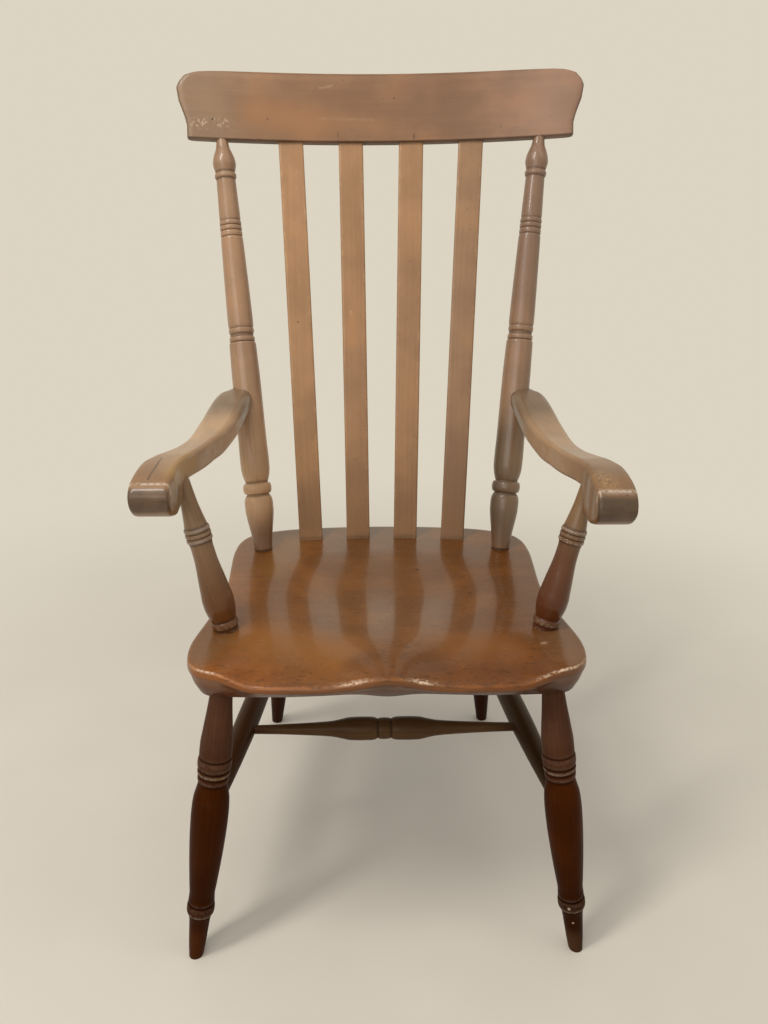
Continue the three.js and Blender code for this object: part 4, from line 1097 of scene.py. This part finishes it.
# Turns a member from the start of its line to the end and adds it. Straight ends of [along,
# diameter] stand before its rows, counted from its start, and after them, from its end.
def addTurned(name, shares, diameter, line, grainStart, look, before=(), after=(), sawn=(None, None)):
    length = np.linalg.norm(line[1] - line[0])
    first = [[along, across / 2] for along, across in before]
    last = [[length + along, across / 2] for along, across in after]
    rows = turnedRows(shares, length, diameter).tolist()
    addPiece(name, spun(np.array(first + rows + last), *line, grainStart, sawn), look)


addPiece("seat", seatSkin(), "seat")
addPiece("crest_rail", crestSkin(vec(0.3, 0.1, 0.7)), "crest")
for number, share in enumerate(lathShares, 1):
    skin = lathSkin(share, vec(0.11 * number, 0.02, 0.31 * number))
    addPiece(f"lath_{number}", skin, "lath")
print("seat, crest rail and laths made")

sideEnds = []
throughSeat = seat["thickness"] + 1
sawnUnder = (underside - 0.2, None)
for order, (name, hand) in enumerate(hands.items()):
    line = lines[name]
    seed = vec(0.5 + order, 0.2, 0.9 + 0.4 * order)

    # Legs, sawn level on the floor
    tenon = legs["tenonDiameter"]
    ends = [[-legs["tenon"], tenon], [-legs["tenonGap"], tenon]]
    for place, shares, shift in (("front", frontLegShares, 0), ("rear", rearLegShares, 2)):
        leg, diameter = line[place + "Leg"], legs[place + "Diameter"]
        addTurned(f"leg_{place}_{name}", shares, diameter, leg, seed + shift, "leg", ends,
                  sawn=(None, 0))

    # Side stretcher
    frontEnd = atHeight(*line["frontLeg"][::-1], stretchers["sideFrontHeight"])
    rearEnd = atHeight(*line["rearLeg"][::-1], stretchers["sideRearHeight"])
    sideEnds.append((frontEnd, rearEnd))
    addTurned(f"side_stretcher_{name}", sideStretcherShares, stretchers["sideDiameter"],
              sideEnds[-1], seed + 4, "stretcher")

    # Stile, from under the seat into the crest rail
    tenon, diameter = back["tenonDiameter"], back["stileDiameter"]
    before = [[-throughSeat, tenon], [-back["tenonGap"], tenon]]
    after = [[back["topTenon"], stileShares[-1][1] * diameter]]
    addTurned(f"stile_{name}", stileShares, diameter, line["stile"], seed + 6, "stile", before,
              after, sawnUnder)

    # Arm post, from under the seat into the arm
    tenon, diameter, sink = arms["postTenonDiameter"], arms["postDiameter"], arms["collarSink"]
    before = [[-throughSeat, tenon], [-sink - arms["collarGap"], tenon]]
    before.append([-sink, postShares[0][1] * diameter])
    after = [[arms["topTenon"], postShares[-1][1] * diameter * arms["topTenonShare"]]]
    addTurned(f"arm_post_{name}", postShares, diameter, line["post"], seed + 8, "post", before,
              after, sawnUnder)
    addPiece(f"arm_{name}", armSkin(hand, line, seed), "arm")

# Cross stretcher: half of it is turned out from its middle bead, and mirrored
crossEnds = [lerp(*ends, stretchers["crossPlace"]) for ends in sideEnds]
halfLength = np.linalg.norm(crossEnds[1] - crossEnds[0]) / 2
outer, bead = (
    turnedRows(rows, halfLength, stretchers["crossDiameter"])
    for rows in (crossStretcherShares, [stretchers["crossBead"]])
)
rows = np.concatenate([outer[::-1] * (-1, 1), bead[1:-1], outer])
rows[:, 0] += halfLength
addPiece("cross_stretcher", spun(rows, *crossEnds, vec(3.1, 0.4, 1.7)), "stretcher")
print("turned members and arms made")

for name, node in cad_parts.items():
    if name.startswith("wedge") or name.startswith("crest_peg"):
        node.data.materials.clear()
        node.data.materials.append(looks["wedge"])

camera = {
    "place": (-0.0283, -1.08277, 0.9824),
    "pitch": 22.656, "yaw": 1.527, "roll": -0.311,  # degrees
    "focal": 800, "high": 1024,  # pixels
}
studio = {
    "wall": (0.72, 0.66, 0.54),
    "floor": (0.74, 0.69, 0.60), "floorNoise": 0.4, "floorShades": (0.97, 1.02),
    "worldLevel": 0.54, "worldColour": (1.0, 0.97, 0.93), "lampColour": (1.0, 0.965, 0.92),
    "floorRadius": 9.0, "floorSides": 96, "floorRings": 29, "fadeStart": 0.45, "fadeEnd": 1.7,
}
lamps = {  # aim is the height that it looks at over the origin
    "overheadLeft": {"place": (-0.9, -0.7, 2.5), "aim": 0.5, "size": (0.28, 1.2), "watts": 23},
    "overheadRight": {"place": (0.9, -0.4, 2.5), "aim": 0.5, "size": (0.5, 1.3), "watts": 3},
    "front": {"place": (-1.3, -2.9, 1.9), "aim": 0.6, "size": (2.4, 1.6), "watts": 25},
}


# Turns and places a thing whose own x, y and z are to lie along right, up and away from ahead
def setOut(thing, right, up, ahead, place):
    matrix = np.eye(4)
    matrix[:3] = np.stack([right, up, -ahead, place], -1)
    thing.matrix_world = Matrix(matrix.tolist())


lens = bpy.data.cameras.new("eye")
lens.lens = lens.sensor_width * camera["focal"] / camera["high"]
eye = addObject("eye", lens)
yaw, pitch, roll = (math.radians(camera[key]) for key in ("yaw", "pitch", "roll"))
level, cr, sr = math.cos(pitch), math.cos(roll), math.sin(roll)
ahead = vec(math.sin(yaw) * level, math.cos(yaw) * level, -math.sin(pitch))
right = vec(math.cos(yaw), -math.sin(yaw), 0)
down = np.cross(ahead, right)
setOut(eye, cr * right + sr * down, sr * right - cr * down, ahead, camera["place"])
bpy.context.scene.camera = eye

for name, lamp in lamps.items():
    light = bpy.data.lights.new(name, "AREA")
    light.shape = "RECTANGLE"
    light.size, light.size_y = lamp["size"]
    light.energy = lamp["watts"]
    light.color = studio["lampColour"]
    ahead = unit(vec(0, 0, lamp["aim"]) - lamp["place"])
    right = unit(np.cross(ahead, vec(0, 0, 1)))
    setOut(addObject(name, light), right, np.cross(right, ahead), ahead, lamp["place"])


# 1 for rays that show the surroundings, straight or mirrored, and 0 for those that light by them
def seenDirectly(sheet):
    seen, glossy, through = (
        sheet.node("LightPath", output=f"Is {ray} Ray")
        for ray in ("Camera", "Glossy", "Transmission")
    )
    return seen.maths("MAXIMUM", glossy).maths("MAXIMUM", through)


world = bpy.data.worlds.new("room")
bpy.context.scene.world = world
sheet = Sheet(world)
light = {"Color": studio["worldColour"], "Strength": studio["worldLevel"]}
lit = sheet.node("Background", {}, light)
shown = sheet.node("Background", {}, {"Color": studio["wall"], "Strength": 1.0})
mixed = sheet.node("MixShader", {}, {0: seenDirectly(sheet), 1: lit, 2: shown})
sheet.node("OutputWorld", {}, {"Surface": mixed})


# A disc whose near part is pale matt floor and whose far part fades into the wall's colour
def addFloor():
    sides, rings = studio["floorSides"], studio["floorRings"]
    turn = np.arange(sides) / sides * fullTurn
    radii = np.linspace(0, 1, rings + 1)[1:, None] ** 2 * studio["floorRadius"]
    grid = np.stack([radii * np.cos(turn), radii * np.sin(turn), 0 * radii * turn], -1)
    points = np.concatenate([grid.reshape(-1, 3), [[0, 0, 0]]])
    i, j = np.arange(rings - 1)[:, None] * sides, np.arange(sides)[None, :]
    k = (j + 1) % sides
    quads = np.stack([i + j, i + sides + j, i + sides + k, i + k], -1).reshape(-1, 4)
    fans = np.stack([np.full(sides, rings * sides), j[0], k[0]], -1)
    mesh = makeMesh("floor", points, quads.tolist() + fans.tolist())
    material = bpy.data.materials.new("paleFloor")
    sheet = Sheet(material)
    place = sheet.place()
    cloud = sheet.noise(place, (studio["floorNoise"],) * 3, 3.0)
    shades = [(shade,) * 3 for shade in studio["floorShades"]]
    shade = sheet.blend(cloud.between(*showing["shadeCloud"]), *shades)
    matt = sheet.node("BsdfDiffuse", {}, {"Color": sheet.tint(studio["floor"], shade)})
    glow = sheet.node("Emission", {}, {"Color": studio["wall"], "Strength": 1.0})
    fade = sheet.length(place).between(studio["fadeStart"], studio["fadeEnd"])
    surface = sheet.node("MixShader", {}, {0: fade * seenDirectly(sheet), 1: matt, 2: glow})
    sheet.node("OutputMaterial", {}, {"Surface": surface})
    mesh.materials.append(material)
    floor = addObject("floor", mesh)


addFloor()
bpy.context.scene.view_settings.view_transform = "Standard"
largest = max(pieceTriangles, key=pieceTriangles.get)
print("triangles:", sum(pieceTriangles.values()), "largest:", largest, pieceTriangles[largest])
